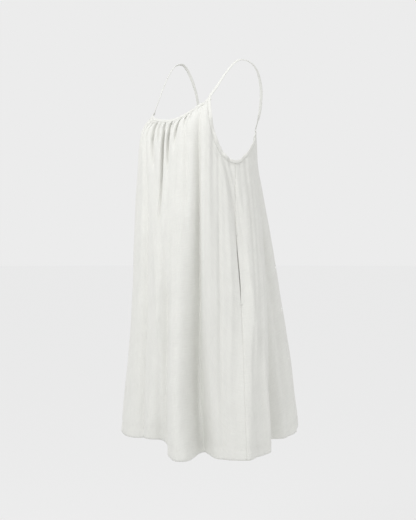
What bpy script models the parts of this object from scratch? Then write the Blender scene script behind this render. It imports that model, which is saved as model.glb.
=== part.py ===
"""Sleeveless trapeze sundress with a gathered scoop neck, thin shoulder straps and seam pockets.

The dress keeps the hollow form that it has when it is worn. Metres, +Z up. The front faces -Y and
the wearer's left side is +X. The origin is midway between the two straps, where they lie on the
shoulders.

Every panel lies on one tapering tube. A place on it has a height z and a cloth angle in degrees:
0 at the front centre, 90 at the left side seam, 180 at the back centre and -90 or 270 at the
right side seam.
"""

import math
from typing import NamedTuple

import bmesh
import bpy
from mathutils import Vector

# Cloth and seams
CLOTH = 0.0012          # wall of one layer of linen
HEM_CLOTH = 0.0021      # wall where the hem is turned up
HEM_DEPTH = 0.022       # height of the turned hem
SEAM_GAP = 0.0003       # clear distance between two sewn pieces
BINDING_GAP = 0.0004    # the same between a gathered edge and its binding
BINDING_WIDTH = 0.0065  # finished height of the neck and armhole bindings
BINDING_CLOTH = 0.0022  # folded bias strip
NECK_LEAN = 0.8         # how far the neck bindings stand up from the cloth's own slope
STRAP_WIDTH = 0.0068
STRAP_CLOTH = 0.0020
STRAP_RISE = 0.0010     # clear height from the bindings' ends to the end of a strap
POCKET_CLOTH = 0.0008   # each layer of a pocket bag

# Where the borders of the panels turn, as cloth angles
SIDE_SEAM = 89.0
FRONT_STRAP = 57.0
BACK_STRAP = 136.0

# Number of cells along and down each panel
FRONT_NECK_COLUMNS = 84
BACK_NECK_COLUMNS = 38
FRONT_ARMHOLE_COLUMNS = 11
BACK_ARMHOLE_COLUMNS = 12
SEAM_COLUMN = 0.8       # width of the narrow column beside each side seam, in degrees
FRONT_ROWS = 16
BACK_ROWS = 13
ROW_CROWD = 1.8         # how much closer the rows lie near the top edge
ARMHOLE_CROWD = 1.2     # how much closer the columns lie where an armhole curves most

LINEN = (0.80, 0.80, 0.77)
PANEL_ROUGHNESS = 0.86
TRIM_ROUGHNESS = 0.84
UP = Vector((0.0, 0.0, 1.0))


class Section(NamedTuple):
    """A level cut through the tube, without its folds.

    The front half is an ellipse that squareness fills out at its corners.
    """

    z: float
    centre_y: float
    half_width: float
    front_depth: float
    back_depth: float
    squareness: float


SECTIONS = (
    Section(-0.095, -0.031, 0.1400, 0.0900, 0.1300, 0.24),
    Section(-0.150, -0.032, 0.1435, 0.1010, 0.1300, 0.24),
    Section(-0.190, -0.032, 0.1460, 0.1050, 0.1280, 0.24),
    Section(-0.234, -0.032, 0.1490, 0.1085, 0.1265, 0.22),
    Section(-0.294, -0.030, 0.1540, 0.1155, 0.1360, 0.18),
    Section(-0.394, -0.024, 0.1630, 0.1320, 0.1530, 0.10),
    Section(-0.514, -0.016, 0.1760, 0.1490, 0.1650, 0.03),
    Section(-0.654, -0.008, 0.1910, 0.1680, 0.1800, 0.00),
    Section(-0.774, -0.003, 0.2040, 0.1845, 0.1890, 0.00),
    Section(-0.860, 0.000, 0.2130, 0.1935, 0.1920, 0.00),
)


class EdgePoint(NamedTuple):
    """A point on a border: cloth angle and height."""

    angle: float
    z: float


NECK_FRONT = (
    EdgePoint(-57.0, -0.1125),
    EdgePoint(-45.0, -0.1205),
    EdgePoint(-30.0, -0.1290),
    EdgePoint(-10.0, -0.1390),
    EdgePoint(0.0, -0.1432),
    EdgePoint(10.0, -0.1425),
    EdgePoint(22.0, -0.1350),
    EdgePoint(34.0, -0.1240),
    EdgePoint(57.0, -0.1085),
)
NECK_BACK = (
    EdgePoint(136.0, -0.1670),
    EdgePoint(142.0, -0.1890),
    EdgePoint(150.0, -0.2120),
    EdgePoint(165.0, -0.2240),
    EdgePoint(180.0, -0.2280),
    EdgePoint(195.0, -0.2240),
    EdgePoint(210.0, -0.2120),
    EdgePoint(218.0, -0.1890),
    EdgePoint(224.0, -0.1670),
)
ARMHOLE = (
    EdgePoint(57.0, -0.1085),
    EdgePoint(60.2, -0.1425),
    EdgePoint(65.0, -0.1810),
    EdgePoint(71.7, -0.2120),
    EdgePoint(79.5, -0.2325),
    EdgePoint(89.0, -0.2410),
    EdgePoint(96.5, -0.2355),
    EdgePoint(107.0, -0.2175),
    EdgePoint(121.0, -0.1905),
    EdgePoint(136.0, -0.1670),
)
HEM = (
    EdgePoint(-100.0, -0.8400),
    EdgePoint(-35.0, -0.8320),
    EdgePoint(-5.0, -0.8320),
    EdgePoint(17.0, -0.8280),
    EdgePoint(34.0, -0.8520),
    EdgePoint(100.0, -0.8500),
    EdgePoint(118.0, -0.8350),
    EdgePoint(150.0, -0.8140),
    EdgePoint(200.0, -0.8360),
    EdgePoint(260.0, -0.8400),
    EdgePoint(325.0, -0.8320),
)
ARMHOLE_MIDDLE = EdgePoint(98.0, -0.1300)   # a place in the open armhole, for its binding


class SeamPoint(NamedTuple):
    """Where the two side seams lie on the tube, as angles round it."""

    z: float
    right: float
    left: float


SIDE_SEAMS = (
    SeamPoint(-0.095, 89.0, 89.0),
    SeamPoint(-0.241, 88.5, 88.0),
    SeamPoint(-0.385, 87.0, 83.5),
    SeamPoint(-0.543, 85.0, 80.0),
    SeamPoint(-0.713, 83.5, 75.5),
    SeamPoint(-0.860, 82.0, 73.5),
)


class Pull(NamedTuple):
    """How far the bound edge is drawn in towards the figure at an angle on either side."""

    angle: float
    inward: float


EDGE_PULL = (
    Pull(0.0, 0.0200),
    Pull(30.0, 0.0230),
    Pull(57.0, 0.0180),
    Pull(70.0, 0.0070),
    Pull(89.0, 0.0000),
    Pull(120.0, 0.0000),
    Pull(136.0, 0.0030),
    Pull(155.0, 0.0090),
    Pull(180.0, 0.0110),
)
PULL_REACH = 0.017      # distance below the edge in which the cloth springs back out
PULL_SHAPE = 1.1        # 1 springs back at once, more leaves the edge more slowly

FOLD_LEVELS = (-0.15, -0.33, -0.51, -0.68, -0.85)


class Fold(NamedTuple):
    """A long ridge (out > 0) or trough (out < 0): one value for each of FOLD_LEVELS.

    skew is the share by which its side at smaller angles is wider, and the other side narrower.
    """

    name: str
    angle: tuple[float, ...]
    out: tuple[float, ...]
    half_width: tuple[float, ...]
    skew: tuple[float, ...] = (0.0, 0.0, 0.0, 0.0, 0.0)


def millimetres(*values: float) -> tuple[float, ...]:
    """Returns the values in metres."""
    return tuple(value / 1000.0 for value in values)


FOLDS = (
    Fold("front_right_ridge", (-21, -12, -10, -12, -16), millimetres(2.5, 3, 2.5, 1, 0),
         millimetres(14, 16, 16, 16, 16)),
    Fold("front_centre_trough", (-7, -3, 0, 3, 1), millimetres(-1.5, -3, -5, -9, -15),
         millimetres(14, 16, 22, 28, 34)),
    Fold("front_centre_ridge", (12, 12, 14, 19, 20), millimetres(0, 1.5, 4, 4, 2),
         millimetres(12, 12, 11, 10, 10)),
    Fold("inner_trough", (18, 19, 21, 20, 19), millimetres(0, -1, -4, -13, -34),
         millimetres(12, 12, 13, 17, 22)),
    Fold("front_lobe", (32, 30.5, 32, 33, 36), millimetres(0, 3, 8, 16, 26),
         millimetres(12, 14, 16, 19, 20)),
    Fold("front_left_trough", (46, 47, 45, 43.5, 44), millimetres(-5, -15, -28, -41, -60),
         millimetres(10, 13, 16, 18, 23), (0.0, 0.15, 0.1, -0.15, -0.65)),
    Fold("bust_trough", (64, 65, 66, 64, 62), millimetres(-1.5, -1.5, 0, 0, 0),
         millimetres(7, 8, 10, 10, 10)),
    Fold("underarm_trough", (68, 83, 82, 78, 75), millimetres(0, -7, -1, 0, 0),
         millimetres(5, 8, 8, 8, 8)),
    Fold("seam_back_ridge", (92, 88, 88.5, 88, 84), millimetres(0, 1, 3, 2.5, 0),
         millimetres(7, 7, 8, 8, 8)),
    Fold("side_lobe", (108, 100, 91.5, 80.5, 74.5), millimetres(1, 4, 10, 15, 20),
         millimetres(10, 14, 18, 21, 22)),
    Fold("back_left_trough", (130, 124, 116.5, 109, 103), millimetres(-2, -7, -17, -33, -48),
         millimetres(12, 15, 19, 25, 30)),
    Fold("back_left_lobe", (146, 145, 144, 142, 141), millimetres(0, 1, 2, 3, 4),
         millimetres(14, 18, 22, 26, 28)),
    Fold("back_centre_trough", (167, 166, 166, 167, 168), millimetres(-1, -5, -12, -22, -33),
         millimetres(9, 13, 17, 21, 25)),
    Fold("back_centre_ridge", (186, 185, 184, 184, 185), millimetres(0, 3, 8, 14, 21),
         millimetres(12, 15, 18, 21, 24)),
    Fold("back_right_trough", (200, 201, 203, 205, 205), millimetres(-2, -7, -15, -28, -41),
         millimetres(10, 13, 18, 24, 29)),
    Fold("back_right_lobe", (222, 224, 226, 226, 227), millimetres(0, 3, 8, 14, 19),
         millimetres(14, 18, 22, 24, 26)),
    Fold("right_back_trough", (244, 246, 248, 249, 248), millimetres(-2, -6, -14, -25, -37),
         millimetres(10, 13, 18, 23, 28)),
    Fold("right_lobe", (266, 267, 269, 270, 271), millimetres(0, 4, 10, 17, 24),
         millimetres(12, 15, 18, 21, 24)),
    Fold("right_front_trough", (303, 306, 308, 309, 308), millimetres(-2, -5, -11, -20, -30),
         millimetres(9, 12, 16, 21, 25)),
    Fold("right_pocket_ridge", (288, 288, 288, 289, 290), millimetres(0, 1, 2, 4, 8),
         millimetres(12, 15, 18, 20, 22)),
)


class Gather(NamedTuple):
    """A narrow trough that starts under a binding.

    The angles are at the binding, GATHER_TURN below it and at the foot of the gather.
    """

    angle: float
    turn_angle: float
    foot_angle: float
    length: float
    depth: float
    half_width: float


GATHERS = (
    Gather(-52.0, -52.0, -53.0, 0.045, 0.0024, 0.0044),
    Gather(-46.0, -45.0, -46.0, 0.090, 0.0036, 0.0044),
    Gather(-39.0, -37.0, -37.0, 0.050, 0.0030, 0.0040),
    Gather(-32.0, -29.0, -27.0, 0.080, 0.0042, 0.0044),
    Gather(-25.0, -20.0, -19.0, 0.050, 0.0034, 0.0040),
    Gather(-17.0, -9.0, -1.0, 0.112, 0.0070, 0.0042),
    Gather(-11.5, -1.0, 1.0, 0.056, 0.0044, 0.0038),
    Gather(-4.0, 6.5, 13.5, 0.280, 0.0098, 0.0048),
    Gather(1.5, 9.0, 9.0, 0.022, 0.0030, 0.0034),
    Gather(6.0, 12.5, 17.5, 0.120, 0.0080, 0.0044),
    Gather(10.5, 15.5, 16.0, 0.028, 0.0030, 0.0036),
    Gather(18.0, 21.5, 21.5, 0.068, 0.0066, 0.0042),
    Gather(25.0, 30.5, 31.0, 0.034, 0.0048, 0.0040),
    Gather(32.0, 38.0, 39.0, 0.036, 0.0036, 0.0040),
    Gather(41.0, 43.0, 44.0, 0.026, 0.0024, 0.0038),
    Gather(53.0, 53.5, 54.0, 0.050, 0.0022, 0.0042),
    Gather(83.0, 82.5, 82.0, 0.018, 0.0014, 0.0038),
    Gather(94.5, 95.0, 95.0, 0.020, 0.0015, 0.0040),
    Gather(138.0, 138.5, 139.0, 0.050, 0.0026, 0.0062),
    Gather(147.0, 148.0, 148.5, 0.085, 0.0034, 0.0068),
    Gather(157.5, 158.0, 158.0, 0.060, 0.0030, 0.0064),
    Gather(168.0, 167.5, 167.0, 0.110, 0.0038, 0.0070),
    Gather(178.5, 179.0, 179.0, 0.055, 0.0030, 0.0064),
    Gather(189.0, 189.5, 190.0, 0.070, 0.0032, 0.0066),
    Gather(200.0, 200.5, 201.0, 0.120, 0.0038, 0.0070),
    Gather(210.5, 210.5, 210.0, 0.060, 0.0030, 0.0064),
    Gather(220.0, 220.5, 221.0, 0.080, 0.0032, 0.0066),
    Gather(265.5, 265.0, 265.0, 0.020, 0.0015, 0.0040),
    Gather(277.0, 277.5, 278.0, 0.018, 0.0014, 0.0038),
)
GATHER_TURN = 0.040     # distance below the binding in which a gather swings down
GATHER_START = 0.008    # distance below the binding in which a gather opens
GATHER_NARROW = 0.8     # share of its half width that a gather has at the binding
GATHER_WIDEN = 0.7      # share by which it widens down to its foot
GATHER_FADE = 1.5       # how evenly a gather dies out towards its foot
BELL_REACH = 3.0        # half widths beyond which a fold or gather leaves the cloth alone

HEM_LIFT = 0.12         # how far a trough lifts the hem, for each metre of its depth
HEM_RADIUS = 0.200      # rough radius of the hem, on which its troughs are measured
HEM_TURNS = (0.04, 1.0) # shares of the hem's height at its rows: the wall is thick from the first

# Small steps in which slopes are taken
ANGLE_STEP = 0.4        # degrees to either side
DROP_STEP = 0.002
UNDER_EDGE = 0.004      # distance below the edge at which a binding takes the cloth's slope
CORNER_STEP = 1.5       # degrees from a corner to where the neckline's direction is taken


class StrapPoint(NamedTuple):
    """A point on the middle line of a strap, and the way that the flat face looks there.

    The x values run away from the plane of symmetry.
    """

    x: float
    y: float
    z: float
    face_x: float
    face_y: float
    face_z: float


LEFT_STRAP = (
    StrapPoint(0.1140, -0.0600, -0.0777, 0.35, -0.80, 0.50),
    StrapPoint(0.1170, -0.0358, -0.0436, 0.20, -0.70, 0.70),
    StrapPoint(0.1200, -0.0080, -0.0165, 0.35, -0.30, 0.90),
    StrapPoint(0.1210, 0.0200, -0.0155, 0.55, 0.10, 0.85),
    StrapPoint(0.1215, 0.0420, -0.0320, 0.85, 0.00, 0.50),
    StrapPoint(0.1205, 0.0545, -0.0690, 0.93, -0.20, 0.15),
    StrapPoint(0.1190, 0.0545, -0.1100, 0.93, -0.20, 0.00),
    StrapPoint(0.1170, 0.0500, -0.1380, 0.92, 0.20, 0.00),
)
RIGHT_STRAP = (
    StrapPoint(0.1135, -0.0640, -0.0797, 0.35, -0.80, 0.50),
    StrapPoint(0.1170, -0.0389, -0.0262, 0.20, -0.70, 0.70),
    StrapPoint(0.1200, -0.0130, 0.0090, 0.35, -0.30, 0.90),
    StrapPoint(0.1212, 0.0110, 0.0140, 0.55, 0.10, 0.85),
    StrapPoint(0.1215, 0.0330, -0.0140, 0.80, 0.25, 0.55),
    StrapPoint(0.1205, 0.0500, -0.0620, 0.95, 0.20, 0.15),
    StrapPoint(0.1190, 0.0530, -0.1080, 0.95, 0.25, 0.00),
    StrapPoint(0.1170, 0.0500, -0.1380, 0.88, 0.45, 0.00),
)
STRAP_STEPS = 36


class Pocket(NamedTuple):
    """A bag sewn into a side seam, behind the front panel."""

    side: str
    turn: float             # 1 on the wearer's left, -1 on the right
    mouth_top: float
    mouth_foot: float
    bag_top: float
    bag_foot: float
    reach: float            # how far the bag runs forward from the seam, in degrees


POCKETS = (
    Pocket("left", 1.0, -0.395, -0.535, -0.375, -0.640, 31.0),
    Pocket("right", -1.0, -0.395, -0.535, -0.375, -0.640, 31.0),
)
MOUTH_OPEN = 0.85       # degrees that each edge stands back at the middle of the mouth
SEAM_EASE = 6.0         # degrees over which the columns next to a seam give way
MOUTH_ROUND = 0.8       # how blunt the ends of the mouth are: less is blunter
POCKET_ROWS = 9
POCKET_COLUMNS = 9
POCKET_START = 0.4      # degrees from the seam to the bag's edge


class BagRow(NamedTuple):
    """The outline of a pocket bag: how much of its reach it has at a share of its drop."""

    drop: float
    reach: float


BAG_OUTLINE = (
    BagRow(0.00, 0.60),
    BagRow(0.25, 0.86),
    BagRow(0.50, 1.00),
    BagRow(0.75, 0.90),
    BagRow(1.00, 0.50),
)


class PocketLayer(NamedTuple):
    """One of the two layers of a pocket bag."""

    name: str
    inward: float           # from the middle of the panel to the middle of the layer
    past_seam: float        # degrees that the layer runs on behind the mouth


POCKET_LAYERS = (
    PocketLayer("front", 0.0026, 0.0),
    PocketLayer("back", 0.0052, 1.6),
)


def lookup(keys: list[float], values: list[float], at: float) -> float:
    """Smooth value between table rows, level past both ends.

    Args:
        keys: rising keys of the rows.
        values: one value a row.
        at: the key asked for.
    """
    if at <= keys[0]:
        return values[0]
    if at >= keys[-1]:
        return values[-1]
    row = max(i for i, key in enumerate(keys) if key <= at)
    step = keys[row + 1] - keys[row]
    share = (at - keys[row]) / step

    def slope(i: int) -> float:
        low, high = max(i - 1, 0), min(i + 1, len(keys) - 1)
        return (values[high] - values[low]) / (keys[high] - keys[low])

    squared, cubed = share * share, share ** 3
    return (
        (2 * cubed - 3 * squared + 1) * values[row]
        + (cubed - 2 * squared + share) * step * slope(row)
        + (3 * squared - 2 * cubed) * values[row + 1]
        + (cubed - squared) * step * slope(row + 1)
    )


def column(rows: tuple, name: str) -> list[float]:
    """Returns one named column of a table."""
    return [getattr(row, name) for row in rows]


def by_height(rows: tuple, name: str, z: float) -> float:
    """Looks a column up by height in a table whose rows run downwards."""
    return lookup([-row.z for row in rows], column(rows, name), -z)


def along_edge(rows: tuple[EdgePoint, ...], angle: float) -> float:
    """Returns the height of a border at a cloth angle."""
    return lookup(column(rows, "angle"), column(rows, "z"), angle)


def apart(first: float, second: float) -> float:
    """Returns the signed difference of two angles, from -180 to 180 degrees."""
    return (first - second + 180.0) % 360.0 - 180.0


def top_edge(angle: float) -> float:
    """Returns the height of the panels' upper border at a cloth angle."""
    turn = apart(angle, 0.0)
    if abs(turn) <= FRONT_STRAP:
        return along_edge(NECK_FRONT, turn)
    if abs(turn) <= BACK_STRAP:
        drop = NECK_FRONT[-1].z - NECK_FRONT[0].z if turn < 0 else 0.0
        near_front = max(0.0, 1.0 - (abs(turn) - FRONT_STRAP) / (SIDE_SEAM - FRONT_STRAP))
        return along_edge(ARMHOLE, abs(turn)) - drop * near_front
    return along_edge(NECK_BACK, turn % 360.0)


def ring_angle(angle: float, z: float) -> float:
    """Turns a cloth angle into the angle round the tube, which follows the side seams."""
    left = by_height(SIDE_SEAMS, "left", z)
    right = by_height(SIDE_SEAMS, "right", z)
    turn = apart(angle, 0.0)
    if 0.0 <= turn <= SIDE_SEAM:
        return turn * left / SIDE_SEAM
    if -SIDE_SEAM <= turn < 0.0:
        return turn * right / SIDE_SEAM
    share = (turn % 360.0 - SIDE_SEAM) / (360.0 - 2.0 * SIDE_SEAM)
    return left + share * (360.0 - right - left)


def tube(ring: float, z: float) -> tuple[Vector, Vector]:
    """Returns a point of the plain tube and its level outward normal."""
    half_width = by_height(SECTIONS, "half_width", z)
    centre_y = by_height(SECTIONS, "centre_y", z)
    across, ahead = math.sin(math.radians(ring)), math.cos(math.radians(ring))
    if ahead > 0.0:
        depth = by_height(SECTIONS, "front_depth", z)
        squareness = by_height(SECTIONS, "squareness", z)
    else:
        depth = by_height(SECTIONS, "back_depth", z)
        squareness = 0.0
    filled = squareness * across * across
    flat = squareness * ahead * ahead
    point = Vector((
        half_width * across * (1.0 + flat),
        centre_y - depth * ahead * (1.0 + filled),
        z,
    ))
    outward = Vector((
        depth * across * (1.0 + filled - 2.0 * flat),
        -half_width * ahead * (1.0 + flat - 2.0 * filled),
        0.0,
    ))
    return point, outward.normalized()


def fold_offset(ring: float, z: float, radius: float) -> float:
    """Sums the long folds at an angle round the tube."""
    levels = [-level for level in FOLD_LEVELS]
    total = 0.0
    for fold in FOLDS:
        away = apart(ring, lookup(levels, list(fold.angle), -z))
        side = 1.0 - math.copysign(lookup(levels, list(fold.skew), -z), away)
        distance = math.radians(away) * radius / (lookup(levels, list(fold.half_width), -z) * side)
        if abs(distance) < BELL_REACH:
            total += lookup(levels, list(fold.out), -z) * math.exp(-distance * distance)
    return total


def gather_offset(angle: float, below: float, radius: float) -> float:
    """Sums the gathers at a cloth angle and a distance below the top edge."""
    total = 0.0
    for gather in GATHERS:
        share = below / gather.length
        if share >= 1.0:
            continue
        turned = min(1.0, below / GATHER_TURN)
        lowered = max(0.0, below - GATHER_TURN) / max(gather.length - GATHER_TURN, GATHER_TURN)
        middle = gather.angle + (gather.turn_angle - gather.angle) * turned * (2.0 - turned)
        middle += (gather.foot_angle - gather.turn_angle) * lowered
        width = gather.half_width * (GATHER_NARROW + GATHER_WIDEN * share)
        distance = math.radians(apart(angle, middle)) * radius / width
        if abs(distance) > BELL_REACH:
            continue
        opened = min(1.0, below / GATHER_START)
        fade = opened * opened * (3.0 - 2.0 * opened) * (1.0 - share * share) ** GATHER_FADE
        total -= gather.depth * fade * math.exp(-distance * distance)
    return total


def pull_offset(angle: float, z: float) -> float:
    """Returns how far the bound edges draw the cloth in.

    Beside an armhole the pull fades from the height of the strap, not from the steep edge.
    """
    turn = apart(angle, 0.0)
    level = top_edge(angle)
    if FRONT_STRAP < abs(turn) < BACK_STRAP:
        level = top_edge(math.copysign(FRONT_STRAP if abs(turn) < SIDE_SEAM else BACK_STRAP, turn))
    inward = lookup(column(EDGE_PULL, "angle"), column(EDGE_PULL, "inward"), abs(turn))
    return inward * math.exp(-((max(0.0, level - z) / PULL_REACH) ** PULL_SHAPE))


def cloth_point(angle: float, z: float) -> Vector:
    """Returns the point on the middle of the cloth at a cloth angle and a height."""
    ring = ring_angle(angle, z)
    point, outward = tube(ring, z)
    radius = math.hypot(point.x, point.y - by_height(SECTIONS, "centre_y", z))
    below = max(0.0, top_edge(angle) - z)
    out = fold_offset(ring, z, radius) + gather_offset(angle, below, radius)
    return point + outward * (out - pull_offset(angle, z))


def cloth_normal(angle: float, z: float) -> Vector:
    """Returns the outward normal of the cloth, from its neighbouring points."""
    across = cloth_point(angle + ANGLE_STEP, z) - cloth_point(angle - ANGLE_STEP, z)
    down = cloth_point(angle, z - DROP_STEP) - cloth_point(angle, z)
    return down.cross(across).normalized()


def hem_height(angle: float) -> float:
    """Returns the height of the hem, a little higher in the troughs."""
    first = HEM[0].angle
    level = along_edge(HEM, (angle - first) % 360.0 + first)
    ring = ring_angle(angle, level)
    return level - HEM_LIFT * min(0.0, fold_offset(ring, level, HEM_RADIUS))


def spread(start: float, end: float, count: int, crowd: float = 1.0) -> list[float]:
    """Returns count + 1 numbers from start to end, closer together near the start."""
    return [start + (end - start) * (i / count) ** crowd for i in range(count + 1)]


def add_mesh(name: str, points: list[Vector], columns: int, skin: float) -> bpy.types.Object:
    """Makes a grid of points an open sheet and thickens it evenly about its middle.

    Args:
        name: name of the object.
        points: the grid, one row after the other.
        columns: number of points in a row.
        skin: full thickness of the cloth.
    """
    rows = len(points) // columns
    cells = [
        (r * columns + c, r * columns + c + 1, (r + 1) * columns + c + 1, (r + 1) * columns + c)
        for r in range(rows - 1)
        for c in range(columns - 1)
    ]
    mesh = bpy.data.meshes.new(name)
    mesh.from_pydata(points, [], cells)
    turned = bmesh.new()
    turned.from_mesh(mesh)
    bmesh.ops.recalc_face_normals(turned, faces=turned.faces)
    turned.to_mesh(mesh)
    turned.free()
    mesh.shade_smooth()
    sheet = bpy.data.objects.new(name, mesh)
    bpy.data.collections["sundress"].objects.link(sheet)
    thick = sheet.modifiers.new("cloth", "SOLIDIFY")
    thick.thickness = skin
    thick.offset = 0.0
    thick.use_even_offset = True
    return sheet


def add_material(sheet: bpy.types.Object, name: str, roughness: float) -> None:
    """Gives an object a matt linen material of its own."""
    material = bpy.data.materials.new(name)
    material.use_nodes = True
    shader = material.node_tree.nodes["Principled BSDF"]
    shader.inputs["Base Color"].default_value = (*LINEN, 1.0)
    shader.inputs["Roughness"].default_value = roughness
    shader.inputs["Metallic"].default_value = 0.0
    sheet.data.materials.append(material)


def thicken_hem(sheet: bpy.types.Object, hem_rows: int, columns: int) -> None:
    """Keeps the full wall on the turned hem and thins the rest to one layer."""
    hem = sheet.vertex_groups.new(name="hem")
    last = len(sheet.data.vertices)
    hem.add(list(range(last - hem_rows * columns, last)), 1.0, "REPLACE")
    thick = sheet.modifiers["cloth"]
    thick.thickness = HEM_CLOTH
    thick.vertex_group = "hem"
    thick.thickness_vertex_group = CLOTH / HEM_CLOTH


def mouth_gap(angle: float, z: float) -> float:
    """Returns how many degrees a seam edge stands back from the seam line at a pocket mouth."""
    for pocket in POCKETS:
        share = (z - pocket.mouth_foot) / (pocket.mouth_top - pocket.mouth_foot)
        if abs(apart(angle, pocket.turn * SIDE_SEAM)) < SEAM_EASE and 0.0 < share < 1.0:
            return MOUTH_OPEN * math.sin(math.pi * share) ** MOUTH_ROUND
    return 0.0


def seam_clearance(angle: float, z: float) -> float:
    """Returns the degrees between a side seam and the edge of a panel."""
    degree = (cloth_point(angle + 0.5, z) - cloth_point(angle - 0.5, z)).length
    return SEAM_GAP / 2.0 / degree + mouth_gap(angle, z)


def panel_points(angles: list[float], rows: int) -> list[Vector]:
    """Returns the grid of a panel, from its top edge down to the foot of the hem.

    Args:
        angles: cloth angles of its columns, of which the first and last are side seams.
        rows: number of rows of cells above the hem.
    """
    shares = [(drop, 0.0) for drop in spread(0.0, 1.0, rows, ROW_CROWD)]
    shares += [(1.0, turned) for turned in HEM_TURNS]
    points = []
    for drop, turned in shares:
        for angle in angles:
            foot = hem_height(angle)
            top = top_edge(angle)
            z = top + (foot + HEM_DEPTH - top) * drop - HEM_DEPTH * turned
            after_first = max(0.0, 1.0 - abs(angle - angles[0]) / SEAM_EASE)
            before_last = max(0.0, 1.0 - abs(angle - angles[-1]) / SEAM_EASE)
            shift = after_first * seam_clearance(angles[0], z)
            shift -= before_last * seam_clearance(angles[-1], z)
            points.append(cloth_point(angle + shift, z))
    return points


def add_panel(name: str, angles: list[float], rows: int) -> bpy.types.Object:
    """Makes a front or back panel with its turned hem."""
    sheet = add_mesh(name, panel_points(angles, rows), len(angles), CLOTH)
    thicken_hem(sheet, len(HEM_TURNS), len(angles))
    return sheet


def armhole_front() -> list[float]:
    """Returns the cloth angles of the columns from the front corner to the side seam."""
    inner = SIDE_SEAM - SEAM_COLUMN
    return spread(FRONT_STRAP, inner, FRONT_ARMHOLE_COLUMNS, ARMHOLE_CROWD) + [SIDE_SEAM]


def armhole_back() -> list[float]:
    """Returns the cloth angles of the columns from the side seam to the back corner."""
    outer = SIDE_SEAM + SEAM_COLUMN
    return [SIDE_SEAM] + spread(outer, BACK_STRAP, BACK_ARMHOLE_COLUMNS, ARMHOLE_CROWD)


def neck_front(columns: int) -> list[float]:
    """Returns evenly spaced cloth angles along the front neckline."""
    return spread(-FRONT_STRAP, FRONT_STRAP, columns)


def neck_back(columns: int) -> list[float]:
    """Returns evenly spaced cloth angles along the back neckline."""
    return spread(BACK_STRAP, 360.0 - BACK_STRAP, columns)


def front_angles() -> list[float]:
    """Returns the front panel's columns, close together along the neck."""
    armhole = armhole_front()
    neck = neck_front(FRONT_NECK_COLUMNS)
    return [-angle for angle in reversed(armhole)] + neck[1:-1] + armhole


def back_angles() -> list[float]:
    """Returns the back panel's columns."""
    armhole = armhole_back()
    neck = neck_back(BACK_NECK_COLUMNS)
    return armhole + neck[1:-1] + [360.0 - angle for angle in reversed(armhole)]


def ribbon(name: str, foot: list[Vector], across: list[Vector], width: float,
           skin: float) -> bpy.types.Object:
    """Makes a narrow folded strip.

    Args:
        name: name of the object.
        foot: points along one long edge.
        across: unit vectors to the other edge.
        width: width of the strip.
        skin: its thickness.
    """
    points = [
        start + side * width * share for share in (0.0, 0.5, 1.0) for start, side in zip(foot, across)
    ]
    return add_mesh(name, points, len(foot), skin)


def edge_frame(angle: float, towards: Vector, lean: float) -> tuple[Vector, Vector]:
    """Returns a point on the top edge of the cloth, and the direction in which its binding rises.

    Args:
        angle: cloth angle of the point.
        towards: rough direction from the cloth into the opening.
        lean: how much the binding stands up instead of lying on in the cloth's own direction.
    """
    here = cloth_point(angle, top_edge(angle))
    before = cloth_point(angle - ANGLE_STEP, top_edge(angle - ANGLE_STEP))
    after = cloth_point(angle + ANGLE_STEP, top_edge(angle + ANGLE_STEP))
    side = (after - before).cross(cloth_normal(angle, top_edge(angle) - UNDER_EDGE)).normalized()
    if side.dot(towards) < 0.0:
        side.negate()
    return here, (side + Vector((0.0, 0.0, lean))).normalized()


def armhole_frame(angle: float) -> tuple[Vector, Vector]:
    """Returns a point on an armhole's edge, and the direction in which its binding lies."""
    middle, _ = tube(math.copysign(ARMHOLE_MIDDLE.angle, apart(angle, 0.0)), ARMHOLE_MIDDLE.z)
    here = cloth_point(angle, top_edge(angle))
    return edge_frame(angle, middle - here, 0.0)


class Corner(NamedTuple):
    """The end of a neckline at a strap.

    The neck binding ends along rise, and past runs on from it over the armhole binding.
    """

    point: Vector
    rise: Vector
    past: Vector


def corner_frame(angle: float) -> Corner:
    """Returns the corner of a panel at the cloth angle of a strap."""
    turn = apart(angle, 0.0)
    neckwards = 1.0 if (abs(turn) > SIDE_SEAM) == (turn > 0.0) else -1.0
    point = cloth_point(angle, top_edge(angle))
    beside, rise = edge_frame(angle + CORNER_STEP * neckwards, UP, NECK_LEAN)
    past = point - beside
    past = (past - rise * past.dot(rise)).normalized()
    return Corner(point, rise, past)


def add_neck_binding(name: str, angles: list[float]) -> bpy.types.Object:
    """Makes the binding of the front or back neckline, from one corner to the other."""
    first, last = corner_frame(angles[0]), corner_frame(angles[-1])
    frames = [edge_frame(angle, UP, NECK_LEAN) for angle in angles[1:-1]]
    frames = [(first.point, first.rise)] + frames + [(last.point, last.rise)]
    foot = [here + side * BINDING_GAP for here, side in frames]
    return ribbon(name, foot, [side for _, side in frames], BINDING_WIDTH, BINDING_CLOTH)


def add_armhole_binding(side: str, turn: float) -> bpy.types.Object:
    """Makes the binding of an armhole, which runs up past the ends of both neck bindings."""
    angles = armhole_front() + armhole_back()[1:]
    foot, across = [], []
    for angle in angles[1:-1]:
        here, out = armhole_frame(turn * angle)
        foot.append(here + out * BINDING_GAP)
        across.append(out)
    for at, first in ((angles[0], True), (angles[-1], False)):
        corner = corner_frame(turn * at)
        for share in (0.0, 0.5, 1.0):
            place = 0 if first else len(foot)
            climb = (BINDING_GAP + BINDING_WIDTH) * share
            foot.insert(place, corner.point + corner.past * BINDING_GAP + corner.rise * climb)
            across.insert(place, corner.past)
    return ribbon(f"armhole_binding_{side}", foot, across, BINDING_WIDTH, BINDING_CLOTH)


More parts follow.
